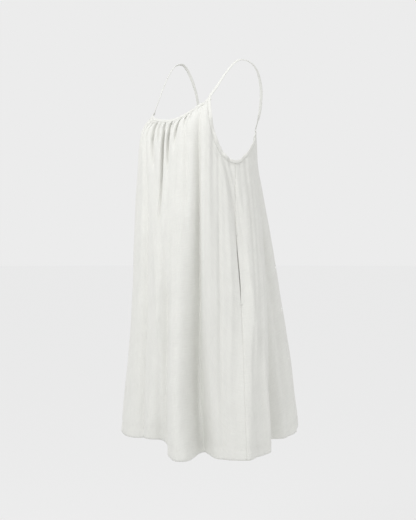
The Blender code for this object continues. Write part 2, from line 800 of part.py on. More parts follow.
def smooth_path(points: list[Vector], steps: int) -> list[Vector]:
    """Returns evenly spaced points of a smooth curve through the given ones."""
    lengths = [0.0]
    for before, after in zip(points, points[1:]):
        lengths.append(lengths[-1] + (Vector(after[:3]) - Vector(before[:3])).length)
    size = len(points[0])
    return [
        Vector([lookup(lengths, [point[axis] for point in points], place) for axis in range(size)])
        for place in spread(0.0, lengths[-1], steps)
    ]


def strap_end(angle: float) -> Vector:
    """Returns the middle of the end of a strap above a corner, followed by the way its face looks."""
    corner = corner_frame(angle)
    climb = BINDING_GAP + BINDING_WIDTH + STRAP_RISE
    start = corner.point + corner.past * (BINDING_GAP + BINDING_WIDTH / 2.0) + corner.rise * climb
    face = corner.past.cross(corner.rise)
    if face.dot(cloth_normal(angle, top_edge(angle) - UNDER_EDGE)) < 0.0:
        face.negate()
    return Vector((*start, *face))


def add_strap(side: str, turn: float, rows: tuple[StrapPoint, ...]) -> bpy.types.Object:
    """Makes one shoulder strap, from the front corner over the shoulder to the back corner."""
    middle = [
        Vector((turn * row.x, row.y, row.z, turn * row.face_x, row.face_y, row.face_z))
        for row in rows
    ]
    ends = [strap_end(turn * FRONT_STRAP), strap_end(turn * BACK_STRAP)]
    path = smooth_path([ends[0]] + middle + [ends[1]], STRAP_STEPS)
    foot, across = [], []
    for i, place in enumerate(path):
        point, face = Vector(place[:3]), Vector(place[3:])
        along = Vector(path[min(i + 1, STRAP_STEPS)][:3]) - Vector(path[max(i - 1, 0)][:3])
        width = along.cross(face).normalized()
        if i in (0, STRAP_STEPS):
            past = corner_frame(turn * (FRONT_STRAP if i == 0 else BACK_STRAP)).past
            width = past if past.dot(width) > 0.0 else -past
        foot.append(point - width * STRAP_WIDTH / 2.0)
        across.append(width)
    return ribbon(f"strap_{side}", foot, across, STRAP_WIDTH, STRAP_CLOTH)


def add_pocket_layer(pocket: Pocket, layer: PocketLayer) -> bpy.types.Object:
    """Makes one layer of a pocket bag, which follows the front panel inside it."""
    drops, reaches = column(BAG_OUTLINE, "drop"), column(BAG_OUTLINE, "reach")
    points = []
    for drop in spread(0.0, 1.0, POCKET_ROWS):
        z = pocket.bag_top + (pocket.bag_foot - pocket.bag_top) * drop
        reach = pocket.reach * lookup(drops, reaches, drop)
        start = SIDE_SEAM - POCKET_START - mouth_gap(pocket.turn * SIDE_SEAM, z) + layer.past_seam
        for share in spread(0.0, 1.0, POCKET_COLUMNS):
            angle = pocket.turn * (start - reach * share)
            points.append(cloth_point(angle, z) - cloth_normal(angle, z) * layer.inward)
    return add_mesh(f"pocket_{layer.name}_{pocket.side}", points, POCKET_COLUMNS + 1, POCKET_CLOTH)


def build() -> None:
    """Builds every piece of the dress."""
    for old in list(bpy.data.objects):
        bpy.data.objects.remove(old, do_unlink=True)
    parts = bpy.data.collections.new("sundress")
    bpy.context.scene.collection.children.link(parts)

    front = add_panel("front_panel", front_angles(), FRONT_ROWS)
    add_material(front, "front_linen", PANEL_ROUGHNESS)
    back = add_panel("back_panel", back_angles(), BACK_ROWS)
    add_material(back, "back_linen", PANEL_ROUGHNESS)

    necks = (
        ("neck_binding_front", neck_front(FRONT_NECK_COLUMNS // 2)),
        ("neck_binding_back", neck_back(BACK_NECK_COLUMNS)),
    )
    for name, angles in necks:
        add_material(add_neck_binding(name, angles), f"{name}_linen", TRIM_ROUGHNESS)
    for side, turn, rows in (("left", 1.0, LEFT_STRAP), ("right", -1.0, RIGHT_STRAP)):
        binding = add_armhole_binding(side, turn)
        add_material(binding, f"armhole_linen_{side}", TRIM_ROUGHNESS)
        add_material(add_strap(side, turn, rows), f"strap_linen_{side}", TRIM_ROUGHNESS)
    for pocket in POCKETS:
        for layer in POCKET_LAYERS:
            bag = add_pocket_layer(pocket, layer)
            add_material(bag, f"pocket_{layer.name}_linen_{pocket.side}", PANEL_ROUGHNESS)


build()
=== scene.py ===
"""A worn linen sundress: gathered scoop neck, bound armholes, thin straps and seam pockets.

Metres, +Z up. The front faces -Y and the wearer's left side is +X. A place on the cloth is a cloth
angle in degrees (0 at the front centre, 89 at the left side seam, 180 at the back centre) and a
height z. Every piece is a thin shell or a folded strip on the form of the solid that it replaces.
"""

import logging
import math
from dataclasses import dataclass, field
from enum import Enum

import bpy
import numpy as np
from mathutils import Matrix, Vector


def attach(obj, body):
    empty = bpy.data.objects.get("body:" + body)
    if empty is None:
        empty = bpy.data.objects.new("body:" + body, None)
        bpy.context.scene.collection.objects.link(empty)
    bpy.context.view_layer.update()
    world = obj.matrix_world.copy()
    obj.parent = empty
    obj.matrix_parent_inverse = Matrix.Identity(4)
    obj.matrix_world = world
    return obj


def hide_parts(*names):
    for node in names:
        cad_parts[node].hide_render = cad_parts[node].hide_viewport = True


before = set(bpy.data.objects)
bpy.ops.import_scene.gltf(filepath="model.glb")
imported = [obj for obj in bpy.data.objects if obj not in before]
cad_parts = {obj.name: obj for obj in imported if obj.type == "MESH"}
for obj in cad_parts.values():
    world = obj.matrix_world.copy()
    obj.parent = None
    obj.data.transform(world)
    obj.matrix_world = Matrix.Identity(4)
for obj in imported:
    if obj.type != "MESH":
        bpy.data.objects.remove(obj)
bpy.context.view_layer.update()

LOG = logging.getLogger("sundress")
BODY = "root"
UP = np.array([0.0, 0.0, 1.0])
LEVEL = np.array([1.0, 1.0, 0.0])
INSIDE = np.array([0.0, -0.02, 0.0])  # a point in the middle of the dress, seen from above
MM = 0.001
NO_LENGTH = 1e-12  # the least length that a vector is divided by
FADED = 40.0  # the exponent past which a bump is as good as gone
SIDE_RADIUS = 0.17  # metres from the middle of the dress to a side seam
STITCH_LEVEL = 0.47  # share of a strip's thickness at which its stitches lie
Array = np.ndarray


# ---------------------------------------------------------------- sizes of the worn form

@dataclass(frozen=True)
class Section:
    """A level cut through the dress without its folds."""

    z: float
    centre_y: float
    half_width: float
    front_depth: float
    back_depth: float
    squareness: float


@dataclass(frozen=True)
class EdgePoint:
    """A point on a border: cloth angle and height."""

    angle: float
    z: float


@dataclass(frozen=True)
class SeamPoint:
    """Angles round the form at which the two side seams lie."""

    z: float
    right: float
    left: float


@dataclass(frozen=True)
class Pull:
    """How far the bound edge is drawn in at an angle on either side."""

    angle: float
    inward: float


@dataclass(frozen=True)
class Fold:
    """A long ridge (out > 0) or trough, in millimetres, with a value for each of FOLD_LEVELS.

    skew is the share by which its side at smaller angles is wider, and the other side narrower.
    """

    name: str
    angle: tuple[float, ...]
    out: tuple[float, ...]
    half_width: tuple[float, ...]
    skew: tuple[float, ...] = (0.0, 0.0, 0.0, 0.0, 0.0)


@dataclass(frozen=True)
class Gather:
    """A narrow trough under a binding, which swings down and fades out at its foot.

    Lengths are in metres. sharp is the half width near the binding.
    """

    angle: float
    turn_angle: float
    foot_angle: float
    length: float
    depth: float
    sharp: float


@dataclass(frozen=True)
class Crease:
    """A short soft line pressed into the cloth, out of it where depth is below 0.

    depth and half_width are in millimetres.
    """

    angle: float
    z: float
    end_angle: float
    end_z: float
    depth: float
    half_width: float


SECTIONS = (
    Section(-0.095, -0.031, 0.1400, 0.0900, 0.1300, 0.24),
    Section(-0.150, -0.032, 0.1435, 0.1010, 0.1300, 0.24),
    Section(-0.190, -0.032, 0.1460, 0.1050, 0.1280, 0.24),
    Section(-0.234, -0.032, 0.1490, 0.1085, 0.1265, 0.22),
    Section(-0.294, -0.030, 0.1540, 0.1155, 0.1360, 0.18),
    Section(-0.394, -0.024, 0.1630, 0.1320, 0.1530, 0.10),
    Section(-0.514, -0.016, 0.1760, 0.1490, 0.1650, 0.03),
    Section(-0.654, -0.008, 0.1910, 0.1680, 0.1800, 0.00),
    Section(-0.774, -0.003, 0.2040, 0.1845, 0.1890, 0.00),
    Section(-0.860, 0.000, 0.2130, 0.1935, 0.1920, 0.00),
)
NECK_FRONT = (
    EdgePoint(-57.0, -0.1125), EdgePoint(-45.0, -0.1205), EdgePoint(-30.0, -0.1290),
    EdgePoint(-10.0, -0.1390), EdgePoint(0.0, -0.1432), EdgePoint(10.0, -0.1425),
    EdgePoint(22.0, -0.1350), EdgePoint(34.0, -0.1240), EdgePoint(57.0, -0.1085),
)
NECK_BACK = (
    EdgePoint(136.0, -0.1670), EdgePoint(142.0, -0.1890), EdgePoint(150.0, -0.2120),
    EdgePoint(165.0, -0.2240), EdgePoint(180.0, -0.2280), EdgePoint(195.0, -0.2240),
    EdgePoint(210.0, -0.2120), EdgePoint(218.0, -0.1890), EdgePoint(224.0, -0.1670),
)
ARMHOLE = (
    EdgePoint(57.0, -0.1085), EdgePoint(60.2, -0.1425), EdgePoint(65.0, -0.1810),
    EdgePoint(71.7, -0.2120), EdgePoint(79.5, -0.2325), EdgePoint(89.0, -0.2410),
    EdgePoint(96.5, -0.2355), EdgePoint(107.0, -0.2175), EdgePoint(121.0, -0.1905),
    EdgePoint(136.0, -0.1670),
)
HEM = (
    EdgePoint(-100.0, -0.8400), EdgePoint(-35.0, -0.8320), EdgePoint(-5.0, -0.8320),
    EdgePoint(17.0, -0.8280), EdgePoint(34.0, -0.8520), EdgePoint(100.0, -0.8500),
    EdgePoint(118.0, -0.8350), EdgePoint(150.0, -0.8140), EdgePoint(200.0, -0.8360),
    EdgePoint(260.0, -0.8400), EdgePoint(325.0, -0.8320),
)
SIDE_SEAMS = (
    SeamPoint(-0.095, 89.0, 89.0), SeamPoint(-0.241, 88.5, 88.0), SeamPoint(-0.385, 87.0, 83.5),
    SeamPoint(-0.543, 85.0, 80.0), SeamPoint(-0.713, 83.5, 75.5), SeamPoint(-0.860, 82.0, 73.5),
)
EDGE_PULL = (
    Pull(0.0, 0.0200), Pull(30.0, 0.0230), Pull(57.0, 0.0180), Pull(70.0, 0.0070),
    Pull(89.0, 0.0000), Pull(120.0, 0.0000), Pull(136.0, 0.0030), Pull(155.0, 0.0090),
    Pull(180.0, 0.0110),
)
FOLD_LEVELS = (-0.15, -0.33, -0.51, -0.68, -0.85)
FOLDS = (
    Fold("front_right_ridge", (-21, -12, -10, -12, -16), (2.5, 3, 2.5, 1, 0), (14, 16, 16, 16, 16)),
    Fold("front_centre_trough", (-7, -3, 0, 3, 1), (-1.5, -3, -5, -9, -15), (14, 16, 22, 28, 34)),
    Fold("front_centre_ridge", (12, 12, 14, 19, 20), (0, 1.5, 4, 4, 2), (12, 12, 11, 10, 10)),
    Fold("inner_trough", (18, 19, 21, 20, 19), (0, -1, -4, -13, -34), (12, 12, 13, 17, 22)),
    Fold("front_lobe", (32, 30.5, 32, 33, 36), (0, 3, 8, 16, 26), (12, 14, 16, 19, 20)),
    Fold("front_left_trough", (46, 47, 45, 43.5, 44), (-5, -15, -28, -41, -60),
         (10, 13, 16, 18, 23), (0, 0.15, 0.1, -0.15, -0.65)),
    Fold("bust_trough", (64, 65, 66, 64, 62), (-1.5, -1.5, 0, 0, 0), (7, 8, 10, 10, 10)),
    Fold("underarm_trough", (68, 83, 82, 78, 75), (0, -7, -1, 0, 0), (5, 8, 8, 8, 8)),
    Fold("seam_back_ridge", (92, 88, 88.5, 88, 84), (0, 1, 3, 2.5, 0), (7, 7, 8, 8, 8)),
    Fold("side_lobe", (108, 100, 91.5, 80.5, 74.5), (1, 4, 10, 15, 20), (10, 14, 18, 21, 22)),
    Fold("back_left_trough", (130, 124, 116.5, 109, 103), (-2, -7, -17, -33, -48),
         (12, 15, 19, 25, 30)),
    Fold("back_left_lobe", (146, 145, 144, 142, 141), (0, 1, 2, 3, 4), (14, 18, 22, 26, 28)),
    Fold("back_centre_trough", (167, 166, 166, 167, 168), (-1, -5, -12, -22, -33),
         (9, 13, 17, 21, 25)),
    Fold("back_centre_ridge", (186, 185, 184, 184, 185), (0, 3, 8, 14, 21), (12, 15, 18, 21, 24)),
    Fold("back_right_trough", (200, 201, 203, 205, 205), (-2, -7, -15, -28, -41),
         (10, 13, 18, 24, 29)),
    Fold("back_right_lobe", (222, 224, 226, 226, 227), (0, 3, 8, 14, 19), (14, 18, 22, 24, 26)),
    Fold("right_back_trough", (244, 246, 248, 249, 248), (-2, -6, -14, -25, -37),
         (10, 13, 18, 23, 28)),
    Fold("right_lobe", (266, 267, 269, 270, 271), (0, 4, 10, 17, 24), (12, 15, 18, 21, 24)),
    Fold("right_front_trough", (303, 306, 308, 309, 308), (-2, -5, -11, -20, -30),
         (9, 12, 16, 21, 25)),
    Fold("right_pocket_ridge", (288, 288, 288, 289, 290), (0, 1, 2, 4, 8), (12, 15, 18, 20, 22)),
)
FINE_FOLDS = (
    Fold("left_valley", (-22, -9.5, -3.7, -1.5, 1), (-4, -7, -7, -6.5, -5), (5, 5.5, 6, 7, 8)),
    Fold("centre_fine_ridge", (-12, -1, 12.5, 17.5, 19.5), (0, 1.5, 2.2, 1.5, 1), (6, 6, 7, 7, 8)),
    Fold("centre_fine_valley", (4, 9, 19.5, 21.3, 21), (0, -2, -3.5, -3, -1), (5, 5, 5, 5, 6)),
    Fold("lobe_fine_ridge", (14, 22.5, 26.5, 27, 26.5), (0, 1.5, 2.5, 2, 1.5), (5, 6, 6, 7, 8)),
    Fold("lobe_fine_valley", (31, 36.5, 37, 34, 34), (-3.5, -2.5, 0, 0, 0), (4, 5, 5, 6, 7)),
    Fold("left_trough_core", (48, 47.5, 46, 44.5, 43), (-2.5, -6, -6, 0, 14), (6, 6, 6.5, 8, 11)),
    Fold("near_edge_ridge", (61, 59, 56.5, 54, 56), (2, 2.5, 2, 2, 2), (6, 6.5, 7, 7, 7)),
    Fold("near_valley", (71, 68.5, 64, 61, 61), (-1, -2.5, -3, -3, -2.5), (5, 4.5, 5, 5, 6)),
    Fold("near_ridge", (77, 75.5, 73, 67.5, 68), (0.5, 2, 2, 2, 2), (6, 6, 6, 6, 7)),
    Fold("underarm_valley", (75, 87.5, 85, 78, 75), (-1, -4, -1, 0, 0), (6, 5, 6, 6, 6)),
    Fold("behind_ridge", (97, 94.5, 86.3, 76, 75), (0, 1.5, 2, 1.5, 1.5), (5, 5, 5, 5, 5)),
    Fold("behind_valley", (100, 99.5, 92, 82.5, 81.5), (-0.5, -3.5, -3, -2.5, -2.5), (6, 4.5, 5, 5, 5)),
    Fold("outer_ridge", (118, 108.5, 101, 93, 94), (0, 2, 5.5, 9, 10), (5, 6, 9, 11, 12)),
    Fold("behind_trough_core", (126, 122, 122, 119, 117), (-2, -4, -6, -6, -5), (6, 7, 8, 9, 10)),
    Fold("back_edge_ridge", (136, 134, 130, 126, 126), (0, 0, 1, 2.5, 2.5), (6, 6, 6, 6, 6)),
)
GATHERS = (
    Gather(-52.0, -52.0, -53.0, 0.045, 0.0030, 0.0036),
    Gather(-46.0, -45.0, -46.0, 0.090, 0.0060, 0.0034),
    Gather(-42.5, -41.0, -41.0, 0.024, 0.0026, 0.0024),
    Gather(-39.0, -37.0, -37.0, 0.050, 0.0060, 0.0032),
    Gather(-32.0, -29.0, -27.0, 0.080, 0.0085, 0.0034),
    Gather(-28.5, -25.0, -24.5, 0.026, 0.0036, 0.0024),
    Gather(-25.0, -20.0, -19.0, 0.060, 0.0085, 0.0030),
    Gather(-21.0, -16.0, -15.0, 0.022, 0.0040, 0.0023),
    Gather(-17.0, -9.5, -2.5, 0.122, 0.0130, 0.0029),
    Gather(-14.0, -7.0, -6.0, 0.024, 0.0038, 0.0022),
    Gather(-11.5, -2.0, 0.0, 0.070, 0.0100, 0.0026),
    Gather(-7.5, 1.0, 2.0, 0.026, 0.0036, 0.0023),
    Gather(-4.5, 5.5, 11.0, 0.270, 0.0165, 0.0031),
    Gather(1.0, 8.2, 8.2, 0.028, 0.0046, 0.0024),
    Gather(5.5, 11.8, 16.5, 0.150, 0.0148, 0.0029),
    Gather(10.0, 15.0, 15.5, 0.046, 0.0072, 0.0024),
    Gather(14.5, 18.0, 18.5, 0.022, 0.0036, 0.0023),
    Gather(17.5, 20.8, 21.0, 0.084, 0.0120, 0.0028),
    Gather(21.8, 25.5, 26.0, 0.024, 0.0042, 0.0023),
    Gather(25.0, 30.5, 31.0, 0.044, 0.0098, 0.0029),
    Gather(28.8, 33.0, 34.0, 0.020, 0.0032, 0.0023),
    Gather(32.0, 38.0, 39.0, 0.042, 0.0064, 0.0030),
    Gather(37.0, 40.0, 41.0, 0.020, 0.0022, 0.0026),
    Gather(41.0, 43.0, 44.0, 0.030, 0.0030, 0.0032),
    Gather(47.5, 49.0, 50.0, 0.022, 0.0018, 0.0030),
    Gather(53.0, 53.5, 54.0, 0.056, 0.0028, 0.0038),
    Gather(74.0, 75.5, 76.0, 0.014, 0.0009, 0.0022),
    Gather(79.0, 79.5, 79.5, 0.017, 0.0012, 0.0024),
    Gather(83.0, 82.5, 82.0, 0.022, 0.0018, 0.0026),
    Gather(86.6, 86.0, 86.0, 0.016, 0.0012, 0.0022),
    Gather(91.5, 92.0, 92.0, 0.019, 0.0015, 0.0024),
    Gather(94.5, 95.0, 95.0, 0.024, 0.0019, 0.0028),
    Gather(99.0, 99.5, 100.0, 0.017, 0.0012, 0.0025),
    Gather(104.0, 104.0, 104.0, 0.014, 0.0009, 0.0024),
    Gather(138.0, 138.5, 139.0, 0.050, 0.0034, 0.0044),
    Gather(142.5, 143.0, 143.5, 0.026, 0.0020, 0.0034),
    Gather(147.0, 148.0, 148.5, 0.085, 0.0044, 0.0046),
    Gather(152.0, 152.5, 153.0, 0.030, 0.0024, 0.0034),
    Gather(157.5, 158.0, 158.0, 0.060, 0.0040, 0.0044),
    Gather(162.5, 163.0, 163.0, 0.028, 0.0022, 0.0034),
    Gather(168.0, 167.5, 167.0, 0.110, 0.0050, 0.0048),
    Gather(173.5, 173.5, 173.5, 0.030, 0.0024, 0.0034),
    Gather(178.5, 179.0, 179.0, 0.055, 0.0040, 0.0044),
    Gather(184.0, 184.0, 184.5, 0.026, 0.0022, 0.0034),
    Gather(189.0, 189.5, 190.0, 0.070, 0.0042, 0.0046),
    Gather(194.5, 195.0, 195.0, 0.030, 0.0024, 0.0034),
    Gather(200.0, 200.5, 201.0, 0.120, 0.0050, 0.0048),
    Gather(205.5, 205.5, 205.5, 0.028, 0.0022, 0.0034),
    Gather(210.5, 210.5, 210.0, 0.060, 0.0040, 0.0044),
    Gather(215.5, 216.0, 216.0, 0.030, 0.0022, 0.0034),
    Gather(220.0, 220.5, 221.0, 0.080, 0.0042, 0.0044),
    Gather(256.0, 256.0, 256.0, 0.014, 0.0009, 0.0024),
    Gather(261.0, 260.5, 260.5, 0.018, 0.0013, 0.0025),
    Gather(265.5, 265.0, 265.0, 0.024, 0.0019, 0.0028),
    Gather(268.5, 268.0, 268.0, 0.018, 0.0014, 0.0024),
    Gather(273.5, 274.0, 274.0, 0.017, 0.0013, 0.0023),
    Gather(277.0, 277.5, 278.0, 0.022, 0.0018, 0.0026),
    Gather(282.0, 281.5, 281.0, 0.016, 0.0011, 0.0024),
)
CREASES = (
    Crease(60.0, -0.600, 66.0, -0.640, 0.9, 2.6),
    Crease(67.0, -0.596, 60.5, -0.650, 0.8, 2.6),
    Crease(61.0, -0.655, 67.0, -0.700, 0.8, 2.8),
    Crease(92.0, -0.795, 97.0, -0.835, 1.1, 2.4),
    Crease(98.0, -0.790, 92.5, -0.822, 0.9, 2.4),
    Crease(91.0, -0.775, 94.5, -0.800, 0.8, 2.6),
)


# ---------------------------------------------------------------- the worn form

def smooth(keys: list[float], values: list[float], at: Array) -> Array:
    """Reads a smooth curve through table values, level past both ends.

    Args:
        keys: rising keys.
        values: one value a key.
        at: where to read.

    Returns:
        The values there.
    """
    known, worth = np.asarray(keys, float), np.asarray(values, float)
    place = np.clip(at, known[0], known[-1])
    row = np.clip(np.searchsorted(known, place, side="right") - 1, 0, len(known) - 2)
    index = np.arange(len(known))
    low, high = np.maximum(index - 1, 0), np.minimum(index + 1, len(known) - 1)
    slope = (worth[high] - worth[low]) / (known[high] - known[low])
    step = known[row + 1] - known[row]
    share = (place - known[row]) / step
    squared, cubed = share ** 2, share ** 3
    return (
        (2 * cubed - 3 * squared + 1) * worth[row]
        + (cubed - 2 * squared + share) * step * slope[row]
        + (3 * squared - 2 * cubed) * worth[row + 1]
        + (cubed - squared) * step * slope[row + 1]
    )


def column(rows: tuple, name: str) -> list[float]:
    """Returns one named column of a table."""
    return [getattr(row, name) for row in rows]


def by_height(rows: tuple, name: str, z: Array) -> Array:
    """Reads a column by height in a table whose rows run downwards."""
    return smooth([-row.z for row in rows], column(rows, name), -np.asarray(z, float))


def along_edge(rows: tuple[EdgePoint, ...], angle: Array) -> Array:
    """Returns the height of a border at cloth angles."""
    return smooth(column(rows, "angle"), column(rows, "z"), angle)


def apart(first: Array, second: float) -> Array:
    """Returns the signed difference of two angles, from -180 to 180 degrees."""
    return (first - second + 180.0) % 360.0 - 180.0


def unit(vectors: Array) -> Array:
    """Scales vectors to length one."""
    return vectors / np.maximum(np.linalg.norm(vectors, axis=-1, keepdims=True), NO_LENGTH)


def bell(distance: Array) -> Array:
    """Returns a soft bump of height one over a distance in half widths."""
    return np.exp(-np.minimum(distance * distance, FADED))


def eased(share: Array) -> Array:
    """Returns a soft step from 0 to 1."""
    share = np.clip(share, 0.0, 1.0)
    return share * share * (3.0 - 2.0 * share)


def lengths_along(points: Array, axis: int = 0) -> Array:
    """Returns running lengths along a line of points, or along the rows or columns of a grid."""
    steps = np.linalg.norm(np.diff(points, axis=axis), axis=-1)
    start = np.zeros_like(np.take(steps, [0], axis))
    return np.concatenate((start, np.cumsum(steps, axis)), axis)


@dataclass(frozen=True)
class Unevenness:
    """A smooth random field over the cloth, the same in each run.

    across and down are the distances between its random values, in metres.
    """

    seed: int
    across: float
    down: float
    cells: int = 96

    def at(self, u: Array, v: Array) -> Array:
        """Returns values from -1 to 1 at places on the cloth.

        Args:
            u: metres across.
            v: metres down.
        """
        lattice = np.random.RandomState(self.seed).uniform(-1.0, 1.0, (self.cells, self.cells))
        x, y = np.asarray(u) / self.across, np.asarray(v) / self.down
        cell_u, cell_v = np.floor(x).astype(int), np.floor(y).astype(int)
        right, lower = eased(x - cell_u), eased(y - cell_v)
        near, far = cell_u % self.cells, (cell_u + 1) % self.cells
        top, foot = cell_v % self.cells, (cell_v + 1) % self.cells
        upper = lattice[top, near] * (1 - right) + lattice[top, far] * right
        under = lattice[foot, near] * (1 - right) + lattice[foot, far] * right
        return upper * (1 - lower) + under * lower


@dataclass(frozen=True)
class WornForm:
    """The hollow shape that the cloth holds when the dress is worn."""

    side_seam: float = 89.0
    front_strap: float = 57.0
    back_strap: float = 136.0
    pull_reach: float = 0.017
    pull_shape: float = 1.1
    gather_turn: float = 0.040
    gather_start: float = 0.008
    gather_narrow: float = 0.8
    gather_widen: float = 0.7
    gather_fade: float = 1.5
    gather_edge: float = 1.5
    gather_lean: float = 0.85
    gather_share: float = 1.0
    hem_lift: float = 0.12
    hem_radius: float = 0.200
    crease_radius: float = 0.200
    crease_ends: float = 0.35
    angle_step: float = 0.4
    drop_step: float = 0.002
    ripple_radius: float = 0.18
    ripples: tuple[tuple[Unevenness, float], ...] = (
        (Unevenness(11, 0.016, 0.110), 0.0007),
        (Unevenness(12, 0.007, 0.030), 0.0003),
        (Unevenness(13, 0.040, 0.060), 0.0006),
    )
    ripple_start: float = 0.060

    def top_edge(self, angle: Array) -> Array:
        """Returns the height of the panels' upper border."""
        turn = apart(np.asarray(angle, float), 0.0)
        away = np.abs(turn)
        drop = np.where(turn < 0.0, NECK_FRONT[-1].z - NECK_FRONT[0].z, 0.0)
        near_front = np.clip(1.0 - (away - self.front_strap) / (self.side_seam - self.front_strap), 0, 1)
        armhole = along_edge(ARMHOLE, away) - drop * near_front
        sides = np.where(away <= self.back_strap, armhole, along_edge(NECK_BACK, turn % 360.0))
        return np.where(away <= self.front_strap, along_edge(NECK_FRONT, turn), sides)

    def ring_angle(self, angle: Array, z: Array) -> Array:
        """Turns cloth angles into angles round the form, which follow the side seams."""
        left, right = by_height(SIDE_SEAMS, "left", z), by_height(SIDE_SEAMS, "right", z)
        turn = apart(np.asarray(angle, float), 0.0)
        share = (turn % 360.0 - self.side_seam) / (360.0 - 2.0 * self.side_seam)
        behind = left + share * (360.0 - right - left)
        before = turn * np.where(turn < 0.0, right, left) / self.side_seam
        return np.where(np.abs(turn) <= self.side_seam, before, behind)

    def tube(self, ring: Array, z: Array) -> tuple[Array, Array]:
        """Returns points of the plain form and its level outward normals."""
        half_width, centre_y = by_height(SECTIONS, "half_width", z), by_height(SECTIONS, "centre_y", z)
        across, ahead = np.sin(np.radians(ring)), np.cos(np.radians(ring))
        front = ahead > 0.0
        depth = np.where(front, by_height(SECTIONS, "front_depth", z), by_height(SECTIONS, "back_depth", z))
        squareness = np.where(front, by_height(SECTIONS, "squareness", z), 0.0)
        filled, flat = squareness * across ** 2, squareness * ahead ** 2
        z = np.broadcast_to(z, across.shape)
        point = np.stack((half_width * across * (1 + flat), centre_y - depth * ahead * (1 + filled), z), -1)
        outward = np.stack((
            depth * across * (1 + filled - 2 * flat),
            -half_width * ahead * (1 + flat - 2 * filled),
            np.zeros_like(across),
        ), -1)
        return point, unit(outward)

    def folds(self, ring: Array, z: Array, radius: Array) -> Array:
        """Sums the long folds at angles round the form."""
        levels = [-level for level in FOLD_LEVELS]
        total = np.zeros(np.broadcast(ring, z).shape)
        for fold in FOLDS + FINE_FOLDS:
            away = apart(ring, smooth(levels, fold.angle, -z))
            side = 1.0 - np.sign(away) * smooth(levels, fold.skew, -z)
            width = smooth(levels, fold.half_width, -z) * MM * side
            total += smooth(levels, fold.out, -z) * MM * bell(np.radians(away) * radius / width)
        return total

    def gathers(self, angle: Array, below: Array, radius: Array) -> Array:
        """Sums the gathers at cloth angles and distances below the top edge."""
        total = np.zeros(np.broadcast(angle, below).shape)
        turned = np.minimum(1.0, below / self.gather_turn)
        opened = eased(below / self.gather_start)
        for gather in GATHERS:
            share = np.minimum(below / gather.length, 1.0)
            rest = max(gather.length - self.gather_turn, self.gather_turn)
            middle = gather.angle + (gather.turn_angle - gather.angle) * turned * (2.0 - turned)
            lowered = np.maximum(0.0, below - self.gather_turn) / rest
            middle = middle + (gather.foot_angle - gather.turn_angle) * lowered
            width = gather.sharp * (self.gather_narrow + self.gather_widen * share)
            fade = opened * (1.0 - share * share) ** self.gather_fade
            away = np.abs(np.radians(apart(angle, middle)) * radius / width)
            total -= gather.depth * fade * np.exp(-np.minimum(away ** self.gather_edge, FADED))
        return total

    def pull(self, angle: Array, z: Array) -> Array:
        """Returns how far the bound edges draw the cloth in."""
        turn = apart(np.asarray(angle, float), 0.0)
        away = np.abs(turn)
        corner = np.copysign(np.where(away < self.side_seam, self.front_strap, self.back_strap), turn)
        beside = (away > self.front_strap) & (away < self.back_strap)
        level = self.top_edge(np.where(beside, corner, angle))
        inward = smooth(column(EDGE_PULL, "angle"), column(EDGE_PULL, "inward"), away)
        return inward * np.exp(-((np.maximum(0.0, level - z) / self.pull_reach) ** self.pull_shape))

    def creases(self, angle: Array, z: Array, radius: Array) -> Array:
        """Sums the short creases."""
        total = np.zeros(np.broadcast(angle, z).shape)
        for crease in CREASES:
            turn = np.radians(crease.end_angle - crease.angle)
            run = np.array([turn * self.crease_radius, crease.end_z - crease.z])
            u = np.radians(apart(angle, crease.angle)) * radius
            share = (u * run[0] + (z - crease.z) * run[1]) / (run @ run)
            held = np.clip(share, 0.0, 1.0)
            distance = np.hypot(u - run[0] * held, z - crease.z - run[1] * held)
            fade = self.crease_ends + (1.0 - self.crease_ends) * np.sin(np.pi * held)
            total -= crease.depth * MM * bell(distance / (crease.half_width * MM)) * fade
        return total

    def point(self, angle: Array, z: Array, out: Array | float = 0.0) -> Array:
        """Returns points on the middle of the cloth.

        Args:
            angle: cloth angles.
            z: heights.
            out: distance outwards from the cloth.

        Returns:
            An array of the same shape with a last axis of three.
        """
        angle, z = np.broadcast_arrays(np.asarray(angle, float), np.asarray(z, float))
        ring = self.ring_angle(angle, z)
        point, outward = self.tube(ring, z)
        radius = np.hypot(point[..., 0], point[..., 1] - by_height(SECTIONS, "centre_y", z))
        below = np.maximum(0.0, self.top_edge(angle) - z)
        gathered = self.gather_share * self.gathers(angle, below, radius)
        along = np.stack((-outward[..., 1], outward[..., 0], np.zeros_like(z)), -1)
        point = point + along * (self.gather_lean * gathered)[..., None]
        offset = self.folds(ring, z, radius) + gathered
        offset = offset + self.creases(angle, z, radius) - self.pull(angle, z) + out
        u = np.radians(apart(angle, 0.0)) * self.ripple_radius
        for ripple, height in self.ripples:
            offset = offset + height * ripple.at(u, z) * eased(below / self.ripple_start)
        return point + outward * offset[..., None]

    def normal(self, angle: Array, z: Array) -> Array:
        """Returns outward normals of the cloth, from its neighbouring points."""
        across = self.point(angle + self.angle_step, z) - self.point(angle - self.angle_step, z)
        down = self.point(angle, z - self.drop_step) - self.point(angle, z)
        return unit(np.cross(down, across))

    def inside(self, angle: Array, z: Array, inward: float) -> Array:
        """Returns points at a distance inside the cloth."""
        angle, z = np.broadcast_arrays(angle, z)
        return self.point(angle, z) - self.normal(angle, z) * inward

    def hem_height(self, angle: Array) -> Array:
        """Returns the height of the hem, a little higher in the troughs."""
        level = along_edge(HEM, (angle - HEM[0].angle) % 360.0 + HEM[0].angle)
        dips = np.minimum(0.0, self.folds(self.ring_angle(angle, level), level, self.hem_radius))
        return level - self.hem_lift * dips


FORM = WornForm()
UNGATHERED = WornForm(gather_share=0.0)


# ---------------------------------------------------------------- finishes

